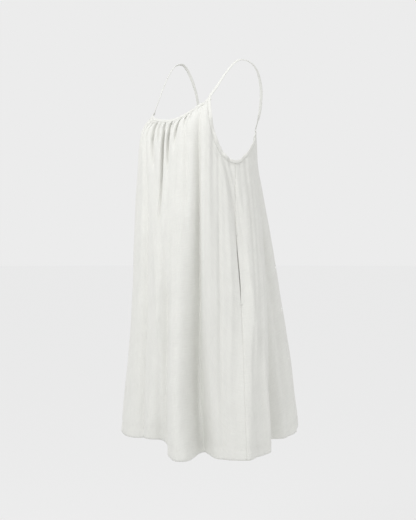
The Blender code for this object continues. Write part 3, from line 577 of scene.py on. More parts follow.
class NodeKit:
    """Adds and links the shader nodes of one material."""

    def __init__(self, name: str) -> None:
        """Starts a material with a Principled shader.

        Args:
            name: name of the material.
        """
        self.material = bpy.data.materials.new(name)
        self.material.use_nodes = True
        self.tree = self.material.node_tree
        self.shader = self.tree.nodes["Principled BSDF"]

    def add(self, kind: str, values: dict | None = None, **settings: object) -> bpy.types.Node:
        """Adds a node.

        Args:
            kind: type of the node, without the ShaderNode prefix.
            values: values of input sockets by name or number.
            settings: attributes of the node.

        Returns:
            The new node.
        """
        node = self.tree.nodes.new("ShaderNode" + kind)
        for key, value in settings.items():
            setattr(node, key, value)
        for key, value in (values or {}).items():
            node.inputs[key].default_value = value
        return node

    def link(self, start: bpy.types.NodeSocket, end: bpy.types.NodeSocket) -> None:
        """Links two sockets."""
        self.tree.links.new(start, end)

    def math(self, operation: str, first: object, second: object) -> bpy.types.NodeSocket:
        """Adds a Math node of two sockets or numbers and returns its output."""
        node = self.add("Math", operation=operation)
        for socket, value in zip(node.inputs, (first, second)):
            if isinstance(value, (int, float)):
                socket.default_value = value
            else:
                self.link(value, socket)
        return node.outputs[0]

    def mixed(self, first: bpy.types.NodeSocket, second: bpy.types.NodeSocket,
              share: float) -> bpy.types.NodeSocket:
        """Mixes two sockets by the share of the second and returns the output."""
        rest = self.math("MULTIPLY", first, 1.0 - share)
        return self.math("ADD", rest, self.math("MULTIPLY", second, share))

    def dress(self, values: dict[str, object]) -> None:
        """Sets inputs of the Principled shader by their names."""
        for name, value in values.items():
            self.shader.inputs[name].default_value = value

    def tint(self, factor: bpy.types.NodeSocket, tones: tuple[tuple[float, float, float], ...],
             ends: tuple[float, float] = (0.0, 1.0)) -> None:
        """Colours the surface between two tones.

        Args:
            factor: where the surface is between them.
            tones: the darker and the lighter tone.
            ends: the factors at which each is reached.
        """
        ramp = self.add("ValToRGB")
        for stop, tone, place in zip(ramp.color_ramp.elements, tones, ends):
            stop.position = place
            stop.color = (*tone, 1.0)
        self.link(factor, ramp.inputs[0])
        self.link(ramp.outputs[0], self.shader.inputs["Base Color"])

    def emboss(self, height: bpy.types.NodeSocket, strength: float, distance: float) -> None:
        """Raises the surface by a height at a strength, where height 1 stands for a distance."""
        bump = self.add("Bump", {"Strength": strength, "Distance": distance})
        self.link(height, bump.inputs["Height"])
        self.link(bump.outputs[0], self.shader.inputs["Normal"])

    def stretched_noise(self, coordinates: bpy.types.NodeSocket, size: tuple[float, float],
                        detail: float, offset: float) -> bpy.types.NodeSocket:
        """Adds noise whose cells have a size across and down.

        Args:
            coordinates: cloth coordinates in metres.
            size: size of a cell, in metres.
            detail: octaves of finer noise.
            offset: shift that parts one noise from the next.

        Returns:
            The noise, from 0 to 1.
        """
        scale = (1.0 / size[0], 1.0 / size[1], 1.0)
        mapping = self.add("Mapping", {"Scale": scale, "Location": (offset, offset, 0.0)})
        self.link(coordinates, mapping.inputs["Vector"])
        noise = self.add("TexNoise", {"Scale": 1.0, "Detail": detail, "Roughness": 0.55})
        self.link(mapping.outputs[0], noise.inputs["Vector"])
        return noise.outputs["Fac"]


@dataclass(frozen=True)
class LinenFinish:
    """Plain-weave linen with slubs, in metres on the cloth."""

    name: str
    colour: tuple[float, float, float]
    shade: tuple[float, float, float]
    roughness: float = 0.9
    thread_pitch: float = 0.0006
    slub_long: float = 0.022
    slub_thick: float = 0.0022
    slub_octaves: float = 3.0
    warp_share: float = 0.4
    patch: float = 0.045
    patch_octaves: float = 2.0
    patch_share: float = 0.30
    tone_ends: tuple[float, float] = (0.33, 0.67)
    weave_depth: float = 0.00006
    slub_depth: float = 0.00022
    slub_spread: float = 4.0
    roughness_spread: float = 0.06
    sheen: float = 0.12
    sheen_roughness: float = 0.5
    specular: float = 0.25

    def make(self) -> bpy.types.Material:
        """Builds the material and returns it."""
        kit = NodeKit(self.name)
        cloth = kit.add("UVMap", uv_map="cloth").outputs[0]
        parts = kit.add("SeparateXYZ")
        kit.link(cloth, parts.inputs[0])
        turn = math.pi / self.thread_pitch
        warp = kit.math("SINE", kit.math("MULTIPLY", parts.outputs[0], turn), 0.0)
        weft = kit.math("SINE", kit.math("MULTIPLY", parts.outputs[1], turn), 0.0)
        weave = kit.math("MULTIPLY", warp, weft)
        long, thick = self.slub_long, self.slub_thick
        weft_slub = kit.stretched_noise(cloth, (long, thick), self.slub_octaves, offset=3.1)
        warp_slub = kit.stretched_noise(cloth, (thick, long), self.slub_octaves, offset=7.7)
        slub = kit.mixed(weft_slub, warp_slub, self.warp_share)
        patch = kit.stretched_noise(cloth, (self.patch, self.patch), self.patch_octaves, offset=1.3)
        kit.tint(kit.mixed(slub, patch, self.patch_share), (self.shade, self.colour), self.tone_ends)
        relief = kit.math("ADD", kit.math("MULTIPLY", weave, self.weave_depth),
                          kit.math("MULTIPLY", slub, self.slub_depth * self.slub_spread))
        kit.emboss(relief, strength=1.0, distance=1.0)
        least, most = self.roughness - self.roughness_spread, self.roughness + self.roughness_spread
        rough = kit.add("MapRange", {"To Min": least, "To Max": most})
        kit.link(slub, rough.inputs["Value"])
        kit.link(rough.outputs[0], kit.shader.inputs["Roughness"])
        kit.dress({"Sheen Weight": self.sheen, "Sheen Roughness": self.sheen_roughness,
                   "Specular IOR Level": self.specular})
        return kit.material


@dataclass(frozen=True)
class ThreadFinish:
    """Twisted sewing thread."""

    name: str
    colour: tuple[float, float, float]
    shade: tuple[float, float, float]
    twist: float = 0.0006
    twist_octaves: float = 2.0
    twist_strength: float = 0.6
    twist_depth: float = 0.0001
    roughness: float = 0.7
    sheen: float = 0.2

    def make(self) -> bpy.types.Material:
        """Builds the material and returns it."""
        kit = NodeKit(self.name)
        place = kit.add("TexCoord").outputs["Object"]
        noise = kit.stretched_noise(place, (self.twist, self.twist), self.twist_octaves, offset=0.4)
        kit.tint(noise, (self.shade, self.colour))
        kit.emboss(noise, self.twist_strength, self.twist_depth)
        kit.dress({"Roughness": self.roughness, "Sheen Weight": self.sheen})
        return kit.material


class Slot(Enum):
    """The record's material slots."""

    PANEL = "panel_linen"
    BINDING = "binding_linen"
    STRAP = "strap_linen"
    POCKET = "pocket_linen"


@dataclass(frozen=True)
class Cloth:
    """A finish with the record's slot that it belongs to."""

    material: bpy.types.Material
    slot: Slot


@dataclass(frozen=True)
class Finishes:
    """Every finish of the dress."""

    panel: Cloth
    binding: Cloth
    strap: Cloth
    pocket: Cloth
    thread: bpy.types.Material

    @classmethod
    def make(cls) -> "Finishes":
        """Builds all the materials."""
        light, shade = (0.785, 0.787, 0.752), (0.715, 0.717, 0.685)
        panel = LinenFinish("off_white_linen", light, shade)
        binding = LinenFinish("bias_strip_linen", light, shade, slub_long=0.012, slub_depth=0.0001)
        strap = LinenFinish("strap_linen_finish", light, shade, slub_long=0.012, slub_depth=0.00005)
        pocket = LinenFinish("pocket_bag_linen", light, shade, roughness=0.93)
        thread = ThreadFinish("sewing_thread", (0.80, 0.80, 0.77), (0.72, 0.72, 0.69))
        return cls(
            panel=Cloth(panel.make(), Slot.PANEL),
            binding=Cloth(binding.make(), Slot.BINDING),
            strap=Cloth(strap.make(), Slot.STRAP),
            pocket=Cloth(pocket.make(), Slot.POCKET),
            thread=thread.make(),
        )

    def sewn_on(self, cloth: Cloth) -> Cloth:
        """Returns the thread as the finish of stitches on a cloth."""
        return Cloth(self.thread, cloth.slot)


# ---------------------------------------------------------------- making meshes

def add_object(name: str, points: Array, faces: list[list[int]], cloth: Cloth) -> bpy.types.Object:
    """Makes a smooth mesh object that rides with the dress.

    Args:
        name: name of the piece.
        points: its points, as rows of three.
        faces: its faces, as lists of point numbers.
        cloth: its finish.

    Returns:
        The new object.
    """
    mesh = bpy.data.meshes.new(name)
    mesh.from_pydata(points.tolist(), [], faces)
    mesh.shade_smooth()
    mesh.materials.append(cloth.material)
    piece = bpy.data.objects.new(name, mesh)
    bpy.context.scene.collection.objects.link(piece)
    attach(piece, BODY)
    return piece


def grid_faces(rows: int, columns: int, closed: bool = False) -> Array:
    """Returns the faces of a grid of points, row after row.

    Args:
        rows: number of rows.
        columns: number of points a row.
        closed: whether each row runs round.
    """
    start = np.arange(rows - 1)[:, None] * columns
    first = np.arange(columns if closed else columns - 1)[None, :]
    after = (first + 1) % columns
    corners = (start + first, start + after, start + columns + after, start + columns + first)
    return np.stack(corners, -1).reshape(-1, 4)


def cloth_map(piece: bpy.types.Object, u: Array, v: Array) -> None:
    """Stores cloth coordinates in metres as the piece's UV map.

    Args:
        piece: the piece.
        u: metres across, one a point.
        v: metres down, one a point.
    """
    layer = piece.data.uv_layers.new(name="cloth")
    corners = np.empty(len(piece.data.loops), int)
    piece.data.loops.foreach_get("vertex_index", corners)
    flat = np.stack((u.ravel()[corners], v.ravel()[corners]), -1)
    layer.data.foreach_set("uv", flat.ravel())


def add_cloth(name: str, points: Array, skin: float, cloth: Cloth) -> bpy.types.Object:
    """Makes a grid of points a thin shell of cloth with its own cloth coordinates.

    Args:
        name: name of the piece.
        points: grid of points with a last axis of three.
        skin: thickness of the shell.
        cloth: its finish.

    Returns:
        The new piece.
    """
    rows, columns = points.shape[:2]
    faces = grid_faces(rows, columns)
    row, place = rows // 2, columns // 2
    middle = points[row, place]
    facing = np.cross(points[row, place + 1] - middle, points[row + 1, place] - middle)
    if facing @ (LEVEL * (middle - INSIDE)) < 0.0:
        faces = faces[:, ::-1]
    piece = add_object(name, points.reshape(-1, 3), faces.tolist(), cloth)
    across = lengths_along(points, axis=1)
    across -= across[:, [place]]
    cloth_map(piece, across, -lengths_along(points))
    shell = piece.modifiers.new("shell", "SOLIDIFY")
    shell.thickness = skin
    shell.offset = 0.0
    return piece


# ---------------------------------------------------------------- panels

@dataclass(frozen=True)
class SeamEdge:
    """How a panel's edge turns in at a side seam, and stands back at the pocket mouth."""

    gap: float = 0.00012
    ease: float = 6.0
    roll_depth: float = 0.0015
    roll_width: float = 0.0011
    mouth_top: float = -0.395
    mouth_foot: float = -0.535
    mouth_open: float = 0.45
    mouth_round: float = 0.8

    def stand_back(self, angle: float, z: Array) -> Array:
        """Returns the degrees between a side seam and the panel's edge."""
        degree = FORM.point(angle + 0.5, z) - FORM.point(angle - 0.5, z)
        share = np.clip((z - self.mouth_foot) / (self.mouth_top - self.mouth_foot), 0.0, 1.0)
        mouth = self.mouth_open * np.sin(np.pi * share) ** self.mouth_round
        return self.gap / 2.0 / np.linalg.norm(degree, axis=-1) + mouth

    def roll(self, distance: Array) -> Array:
        """Returns how far the cloth turns inwards at a distance from its edge, in metres."""
        return -self.roll_depth * bell(distance / self.roll_width)


SEAM_EDGE = SeamEdge()


@dataclass
class Panel:
    """The front or back of the dress, from its bound edge to its turned hem.

    borders holds the cloth angles at which the spacing of the columns changes, each with the
    spacing that follows it. edge_steps are the last columns' distances from a side seam.
    """

    side: str
    borders: tuple[tuple[float, float], ...]
    rows: int
    flat: tuple[float, float]
    flat_area: float
    skin: float = 0.0010
    row_growth: float = 1.2
    hem_depth: float = 0.022
    hem_rows: int = 5
    hem_round: float = 0.01
    turn_out: float = 0.00050
    turn_in: float = -0.00058
    turn_share: float = 0.1
    stitch_below: float = 0.002
    stitch_spacing: float = 0.35
    stitch_margin: float = 0.4
    stitch_pinch: float = 0.0009
    pinch_reach: float = 0.0016
    pucker: float = 0.0007
    pucker_reach: float = 0.011
    puckers: tuple[tuple[Unevenness, float], ...] = (
        (Unevenness(31, 0.0065, 0.05), 1.0),
        (Unevenness(32, 0.014, 0.05), 0.6),
    )
    seam_draw: float = 0.0014
    seam_at: float = 0.0022
    seam_reach: float = 0.0018
    armhole_radius: float = 0.14
    edge_steps: tuple[float, ...] = (0.0045, 0.0022, 0.0012, 0.0006, 0.0002, 0.0)
    edge_clear: float = 1.2
    angles: Array = field(init=False)

    def __post_init__(self) -> None:
        """Works out the cloth angles of the columns."""
        inner = []
        for (start, spacing), (end, _) in zip(self.borders, self.borders[1:]):
            count = max(2, round((end - start) / spacing))
            inner.append(np.linspace(start, end, count, endpoint=False))
        first, last = self.borders[0][0], self.borders[-1][0]
        per_metre = 1.0 / (math.radians(1.0) * SIDE_RADIUS)
        sides = np.array(self.edge_steps) * per_metre
        middle = np.concatenate(inner)
        clear = sides[0] * self.edge_clear
        middle = middle[(middle > first + clear) & (middle < last - clear)]
        self.angles = np.concatenate((first + sides[::-1], middle, last - sides))

    def grid(self, drop: Array, hem: Array, out: Array) -> Array:
        """Returns rows of points of the panel.

        Args:
            drop: share of the way from the top edge to the hem's stitching, one a row.
            hem: share of the hem's depth below that, one a row.
            out: distance outwards, one a row.
        """
        angle = self.angles[None, :]
        top, foot = FORM.top_edge(angle), FORM.hem_height(angle)
        z = top + (foot + self.hem_depth - top) * drop[:, None] - self.hem_depth * hem[:, None]
        first, last = self.angles[0], self.angles[-1]
        after_first = np.maximum(0.0, 1.0 - np.abs(angle - first) / SEAM_EDGE.ease)
        before_last = np.maximum(0.0, 1.0 - np.abs(angle - last) / SEAM_EDGE.ease)
        shift = after_first * SEAM_EDGE.stand_back(first, z) - before_last * SEAM_EDGE.stand_back(last, z)
        to_edge = np.radians(np.minimum(angle - first, last - angle)) * SIDE_RADIUS
        out = out[:, None] + SEAM_EDGE.roll(to_edge) + self.hem_puckers(angle, foot + self.hem_depth - z)
        return FORM.point(angle + shift, z, out - self.bound_seam(angle, top - z))

    def bound_seam(self, angle: Array, below: Array) -> Array:
        """Returns how far a binding's seam draws in the cloth beside it.

        Args:
            angle: cloth angles.
            below: distance straight below the top edge.
        """
        step = FORM.angle_step
        rise = FORM.top_edge(angle + step) - FORM.top_edge(angle - step)
        run = 2.0 * np.radians(step) * self.armhole_radius
        beside = below / np.hypot(1.0, rise / run)
        return self.seam_draw * bell((beside - self.seam_at) / self.seam_reach)

    def hem_puckers(self, angle: Array, under: Array) -> Array:
        """Returns the pinch of the hem's stitching and the small puckers that it makes.

        Args:
            angle: cloth angles.
            under: distance below the stitching.
        """
        u = np.radians(angle) * FORM.hem_radius
        uneven = sum(share * pucker.at(u, under) for pucker, share in self.puckers)
        puckered = self.pucker * uneven * bell(under / self.pucker_reach)
        return puckered - self.stitch_pinch * bell(under / self.pinch_reach)

    def build(self, finishes: Finishes) -> bpy.types.Object:
        """Builds the panel in the place of its solid and returns it."""
        share = np.linspace(0.0, 1.0, self.rows)
        drop = (share + self.row_growth * share * share) / (1.0 + self.row_growth)
        turn = np.linspace(0.0, 1.0, self.hem_rows + 1)[1:]
        drops = np.concatenate((drop, np.ones(2 * self.hem_rows + 2)))
        hems = np.concatenate((np.zeros(self.rows), turn, [1.0 + self.hem_round], turn[::-1], [0.0]))
        outs = np.concatenate((
            self.turn_out * eased((drop - (1.0 - self.turn_share)) / self.turn_share),
            np.full(self.hem_rows, self.turn_out),
            [(self.turn_out + self.turn_in) / 2.0],
            np.full(self.hem_rows + 1, self.turn_in),
        ))
        points = self.grid(drops, hems, outs)
        piece = add_cloth(f"{self.side}_cloth", points, self.skin, finishes.panel)
        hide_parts(f"{self.side}_panel")
        LOG.info("%s_cloth: %d rows of %d points", self.side, *points.shape[:2])
        return piece

    def hem_stitches(self, stitch: "StitchRow", finishes: Finishes) -> bpy.types.Object:
        """Builds the row of stitches that holds the turned hem and returns it."""
        first, last = self.angles[0] + self.stitch_margin, self.angles[-1] - self.stitch_margin
        angle = np.arange(first, last, self.stitch_spacing)
        z = FORM.hem_height(angle) + (self.hem_depth - self.stitch_below)
        under = np.full_like(angle, self.stitch_below)
        out = self.turn_out + self.skin / 2.0 + self.hem_puckers(angle, under)
        row = (FORM.point(angle, z, out), FORM.normal(angle, z))
        return add_thread(f"hem_stitches_{self.side}", [row], stitch, finishes.sewn_on(finishes.panel))


# ---------------------------------------------------------------- strips and thread

STRIP_SIDES = 14
EDGE_ROUND = 0.55
FACE_ROUND = 0.75


def strip_face(middle: Array, across: Array) -> Array:
    """Returns unit vectors out of the flat face of a strip.

    Args:
        middle: points along its middle line.
        across: unit vectors across it.
    """
    return unit(np.cross(unit(np.gradient(middle, axis=0)), across))


def strip_section(half_width: float, half_skin: float) -> Array:
    """Returns the outline of a folded strip, flat with round edges.

    Args:
        half_width: half of its width.
        half_skin: half of its thickness.
    """
    turn = np.linspace(0.0, 2.0 * np.pi, STRIP_SIDES, endpoint=False)
    wide, thick = np.cos(turn), np.sin(turn)
    return np.stack((
        half_width * np.sign(wide) * np.abs(wide) ** EDGE_ROUND,
        half_skin * np.sign(thick) * np.abs(thick) ** FACE_ROUND,
    ), -1)


def add_strip(name: str, middle: Array, across: Array, width: float, skin: float,
              cloth: Cloth) -> bpy.types.Object:
    """Makes a closed folded strip along a path.

    Args:
        name: name of the piece.
        middle: points along its middle line.
        across: unit vectors across it.
        width: its width.
        skin: its thickness.
        cloth: its finish.

    Returns:
        The new piece.
    """
    face = strip_face(middle, across)
    outline = strip_section(width / 2.0, skin / 2.0)
    ring = middle[:, None] + across[:, None] * outline[None, :, :1] + face[:, None] * outline[None, :, 1:]
    count, sides = len(middle), STRIP_SIDES
    points = np.concatenate((ring.reshape(-1, 3), middle[:1], middle[-1:]))
    faces = grid_faces(count, sides, closed=True).tolist()
    first, last = count * sides, count * sides + 1
    for side in range(sides):
        after = (side + 1) % sides
        faces.append([first, after, side])
        faces.append([last, (count - 1) * sides + side, (count - 1) * sides + after])
    piece = add_object(name, points, faces, cloth)
    length = lengths_along(middle)
    u = np.concatenate((np.repeat(length, sides), [0.0, length[-1]]))
    v = np.concatenate((np.tile(outline[:, 0], count), [0.0, 0.0]))
    cloth_map(piece, u, v)
    return piece


@dataclass(frozen=True)
class StitchRow:
    """A row of running stitches on the face of the cloth.

    shares are the places of the rings along a stitch. girths are their sizes, and lifts their
    heights over the cloth, in half thicknesses.
    """

    length: float = 0.0023
    gap: float = 0.0003
    thickness: float = 0.00017
    sides: int = 5
    shares: tuple[float, ...] = (0.0, 0.18, 0.5, 0.82, 1.0)
    girths: tuple[float, ...] = (0.25, 0.85, 1.0, 0.85, 0.25)
    lifts: tuple[float, ...] = (-0.6, 0.1, 0.3, 0.1, -0.6)

    def geometry(self, path: Array, normals: Array) -> tuple[Array, list[list[int]]]:
        """Returns points and faces of the stitches along a path.

        Args:
            path: points on the face of the cloth.
            normals: outward normals there.
        """
        run = lengths_along(path)
        starts = np.arange(0.0, run[-1] - self.length, self.length + self.gap)
        shares, girth = np.array(self.shares), np.array(self.girths)
        lift = np.array(self.lifts) * self.thickness / 2.0
        at = starts[:, None] + shares[None, :] * self.length
        middle = np.stack([np.interp(at, run, path[:, axis]) for axis in range(3)], -1)
        out = unit(np.stack([np.interp(at, run, normals[:, axis]) for axis in range(3)], -1))
        middle = middle + out * lift[None, :, None]
        along = unit(middle[:, -1] - middle[:, 0])[:, None, :]
        aside = unit(np.cross(along, out))
        turn = np.linspace(0.0, 2.0 * np.pi, self.sides, endpoint=False)
        radius = girth[None, :, None, None] * self.thickness / 2.0
        ring = middle[:, :, None] + radius * (
            aside[:, :, None] * np.cos(turn)[None, None, :, None]
            + out[:, :, None] * np.sin(turn)[None, None, :, None]
        )
        size = len(shares) * self.sides
        first = np.arange(len(starts))[:, None, None] * size
        walls = first + grid_faces(len(shares), self.sides, closed=True)
        corners = np.arange(self.sides)
        caps = first + np.stack((corners[::-1], size - self.sides + corners))
        faces = walls.reshape(-1, 4).tolist() + caps.reshape(-1, self.sides).tolist()
        return ring.reshape(-1, 3), faces


def add_thread(name: str, rows: list[tuple[Array, Array]], stitch: StitchRow,
               thread: Cloth) -> bpy.types.Object:
    """Joins rows of stitches into one piece.

    Args:
        name: name of the piece.
        rows: path and normals of each row.
        stitch: the stitch.
        thread: its finish, with the slot of the cloth that the rows are on.

    Returns:
        The new piece.
    """
    points, faces, count = [], [], 0
    for path, normals in rows:
        more, cells = stitch.geometry(path, normals)
        points.append(more)
        faces += [[corner + count for corner in cell] for cell in cells]
        count += len(more)
    LOG.info("%s: %d faces", name, len(faces))
    return add_object(name, np.concatenate(points), faces, thread)


# ---------------------------------------------------------------- bindings

@dataclass(frozen=True)
class Corner:
    """The end of a neckline at a strap: rise runs up the neck binding, past over the armhole's."""

    point: Array
    rise: Array
    past: Array


@dataclass(frozen=True)
class EdgeFrames:
    """Directions along the bound edges."""

    lean: float = 0.8
    under_edge: float = 0.004
    corner_step: float = 1.5
    armhole_angle: float = 98.0
    armhole_z: float = -0.130

    def rise(self, angle: Array, towards: Array, lean: float) -> tuple[Array, Array]:
        """Returns points on the top edge and the directions in which a binding rises from them.

        Args:
            angle: cloth angles.
            towards: rough direction into the opening.
            lean: how much the binding stands up from the cloth's own direction.
        """
        step = FORM.angle_step
        here = FORM.point(angle, FORM.top_edge(angle))
        before = FORM.point(angle - step, FORM.top_edge(angle - step))
        after = FORM.point(angle + step, FORM.top_edge(angle + step))
        normal = UNGATHERED.normal(angle, FORM.top_edge(angle) - self.under_edge)
        side = unit(np.cross(after - before, normal))
        side = side * np.where((side * towards).sum(-1, keepdims=True) < 0.0, -1.0, 1.0)
        return here, unit(side + UP * lean)

    def armhole(self, angle: Array) -> tuple[Array, Array]:
        """Returns points on an armhole's edge and the directions in which its binding lies."""
        turn = math.copysign(self.armhole_angle, float(apart(np.asarray(angle).ravel()[0], 0.0)))
        middle, _ = FORM.tube(np.array(turn), np.array(self.armhole_z))
        here = FORM.point(angle, FORM.top_edge(angle))
        return self.rise(angle, middle - here, 0.0)

    def corner(self, angle: float) -> Corner:
        """Returns the corner of a panel at the cloth angle of a strap."""
        turn = float(apart(np.array(angle), 0.0))
        neckwards = 1.0 if (abs(turn) > FORM.side_seam) == (turn > 0.0) else -1.0
        point = FORM.point(angle, FORM.top_edge(angle))
        beside, rise = self.rise(np.array(angle + self.corner_step * neckwards), UP, self.lean)
        past = point - beside
        return Corner(point, rise, unit(past - rise * (past @ rise)))


EDGES = EdgeFrames()


@dataclass
class Binding:
    """A folded bias strip over a gathered or curved edge.

    waves are the lengths and shares of its unevenness. spacing, corner_blend, front_clear and
    back_clear are degrees, and climb is how far an armhole strip runs up past a neck strip.
    """

    width: float = 0.0066
    skin: float = 0.0021
    overlap: float = 0.0010
    waver: float = 0.00022
    waves: tuple[tuple[float, float], ...] = ((0.005, 1.0), (0.011, 0.7))
    wave_ease: float = 0.01
    stitch_up: float = 0.0012
    spacing: float = 0.35
    least_points: int = 120
    corner_blend: float = 2.0
    front_clear: float = 0.5
    back_clear: float = 0.8
    armhole_points: int = 230
    climb: float = 0.0068
    climb_points: int = 6

    def finish_path(self, foot: Array, rise: Array, seed: int) -> Array:
        """Returns the wavering middle line of the strip.

        Args:
            foot: points of the cloth's edge.
            rise: unit vectors up the strip.
            seed: number of the strip's own unevenness.
        """
        run = lengths_along(foot)
        level = np.zeros_like(run)
        wave = sum(
            share * Unevenness(seed + number, length, 1.0).at(run, level)
            for number, (length, share) in enumerate(self.waves)
        )
        ends = eased(run / self.wave_ease) * eased((run[-1] - run) / self.wave_ease)
        waver = strip_face(foot, rise) * (self.waver * wave * ends)[:, None]
        return foot + rise * (self.width / 2.0 - self.overlap) + waver

    def stitch_line(self, middle: Array, rise: Array) -> tuple[Array, Array]:
        """Returns the row of stitches near the strip's lower edge.

        Args:
            middle: middle line of the strip.
            rise: unit vectors up the strip.
        """
        face = strip_face(middle, rise)
        outward = LEVEL * (middle - INSIDE)
        face = face * np.where((face * outward).sum(-1, keepdims=True) < 0.0, -1.0, 1.0)
        lower = middle - rise * (self.width / 2.0 - self.stitch_up)
        return lower + face * self.skin * STITCH_LEVEL, face

    def strip(self, name: str, node: str, foot: Array, rise: Array, seed: int,
              finishes: Finishes) -> tuple[bpy.types.Object, tuple[Array, Array]]:
        """Builds a binding on its path.

        Args:
            name: name of the piece.
            node: the solid that it replaces.
            foot: points of the cloth's edge.
            rise: unit vectors up the strip.
            seed: number of its unevenness.
            finishes: the dress's finishes.

        Returns:
            The piece and its row of stitches.
        """
        middle = self.finish_path(foot, rise, seed)
        piece = add_strip(name, middle, rise, self.width, self.skin, finishes.binding)
        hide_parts(node)
        LOG.info("%s built", name)
        return piece, self.stitch_line(middle, rise)

    def neck(self, side: str, start: float, end: float, seed: int,
             finishes: Finishes) -> tuple[bpy.types.Object, tuple[Array, Array]]:
        """Builds the binding of a neckline.

        Args:
            side: front or back.
            start: cloth angle of one corner.
            end: cloth angle of the other.
            seed: number of its unevenness.
            finishes: the dress's finishes.

        Returns:
            The piece and its row of stitches.
        """
        angles = np.linspace(start, end, max(self.least_points, round(abs(end - start) / self.spacing)))
        foot, rise = EDGES.rise(angles, UP, EDGES.lean)
        first, last = EDGES.corner(start), EDGES.corner(end)
        blend = eased(np.minimum(angles - start, end - angles)[:, None] / self.corner_blend)
        near = np.where((angles < (start + end) / 2.0)[:, None], first.rise, last.rise)
        rise = unit(near * (1.0 - blend) + rise * blend)
        return self.strip(f"neck_strip_{side}", f"neck_binding_{side}", foot, rise, seed, finishes)

    def armhole(self, side: str, turn: float, seed: int,
                finishes: Finishes) -> tuple[bpy.types.Object, tuple[Array, Array]]:
        """Builds the binding of an armhole, up past the ends of both neck bindings.

        Args:
            side: left or right.
            turn: 1 on the wearer's left, -1 on the right.
            seed: number of its unevenness.
            finishes: the dress's finishes.

        Returns:
            The piece and its row of stitches.
        """
        angles = np.linspace(FORM.front_strap, FORM.back_strap, self.armhole_points)
        clear = (angles > FORM.front_strap + self.front_clear) & (angles < FORM.back_strap - self.back_clear)
        foot, rise = EDGES.armhole(turn * angles[clear])
        climbs = np.linspace(0.0, self.climb, self.climb_points)[:, None]
        front, back = EDGES.corner(turn * FORM.front_strap), EDGES.corner(turn * FORM.back_strap)
        before, after = front.point + front.rise * climbs[::-1], back.point + back.rise * climbs
        foot = np.concatenate((before, foot, after))
        posts = np.ones_like(climbs)
        rise = np.concatenate((posts * front.past, rise, posts * back.past))
        return self.strip(f"armhole_strip_{side}", f"armhole_binding_{side}", foot, rise, seed, finishes)


# ---------------------------------------------------------------- straps

@dataclass(frozen=True)
class StrapPoint:
    """A point on the middle line of a strap, and the way that its flat face looks there."""

    x: float
    y: float
    z: float
    face_x: float
    face_y: float
    face_z: float


LEFT_ROUTE = (
    StrapPoint(0.1140, -0.0600, -0.0777, 0.35, -0.80, 0.50),
    StrapPoint(0.1170, -0.0358, -0.0436, 0.20, -0.70, 0.70),
    StrapPoint(0.1200, -0.0080, -0.0165, 0.35, -0.30, 0.90),
    StrapPoint(0.1210, 0.0200, -0.0155, 0.55, 0.10, 0.85),
    StrapPoint(0.1215, 0.0420, -0.0320, 0.85, 0.00, 0.50),
    StrapPoint(0.1205, 0.0545, -0.0690, 0.93, -0.20, 0.15),
    StrapPoint(0.1190, 0.0545, -0.1100, 0.93, -0.20, 0.00),
    StrapPoint(0.1170, 0.0500, -0.1380, 0.92, 0.20, 0.00),
)
RIGHT_ROUTE = (
    StrapPoint(0.1135, -0.0640, -0.0797, 0.35, -0.80, 0.50),
    StrapPoint(0.1170, -0.0389, -0.0262, 0.20, -0.70, 0.70),
    StrapPoint(0.1200, -0.0130, 0.0090, 0.35, -0.30, 0.90),
    StrapPoint(0.1212, 0.0110, 0.0140, 0.55, 0.10, 0.85),
    StrapPoint(0.1215, 0.0330, -0.0140, 0.80, 0.25, 0.55),
    StrapPoint(0.1205, 0.0500, -0.0620, 0.95, 0.20, 0.15),
    StrapPoint(0.1190, 0.0530, -0.1080, 0.95, 0.25, 0.00),
    StrapPoint(0.1170, 0.0500, -0.1380, 0.88, 0.45, 0.00),
)


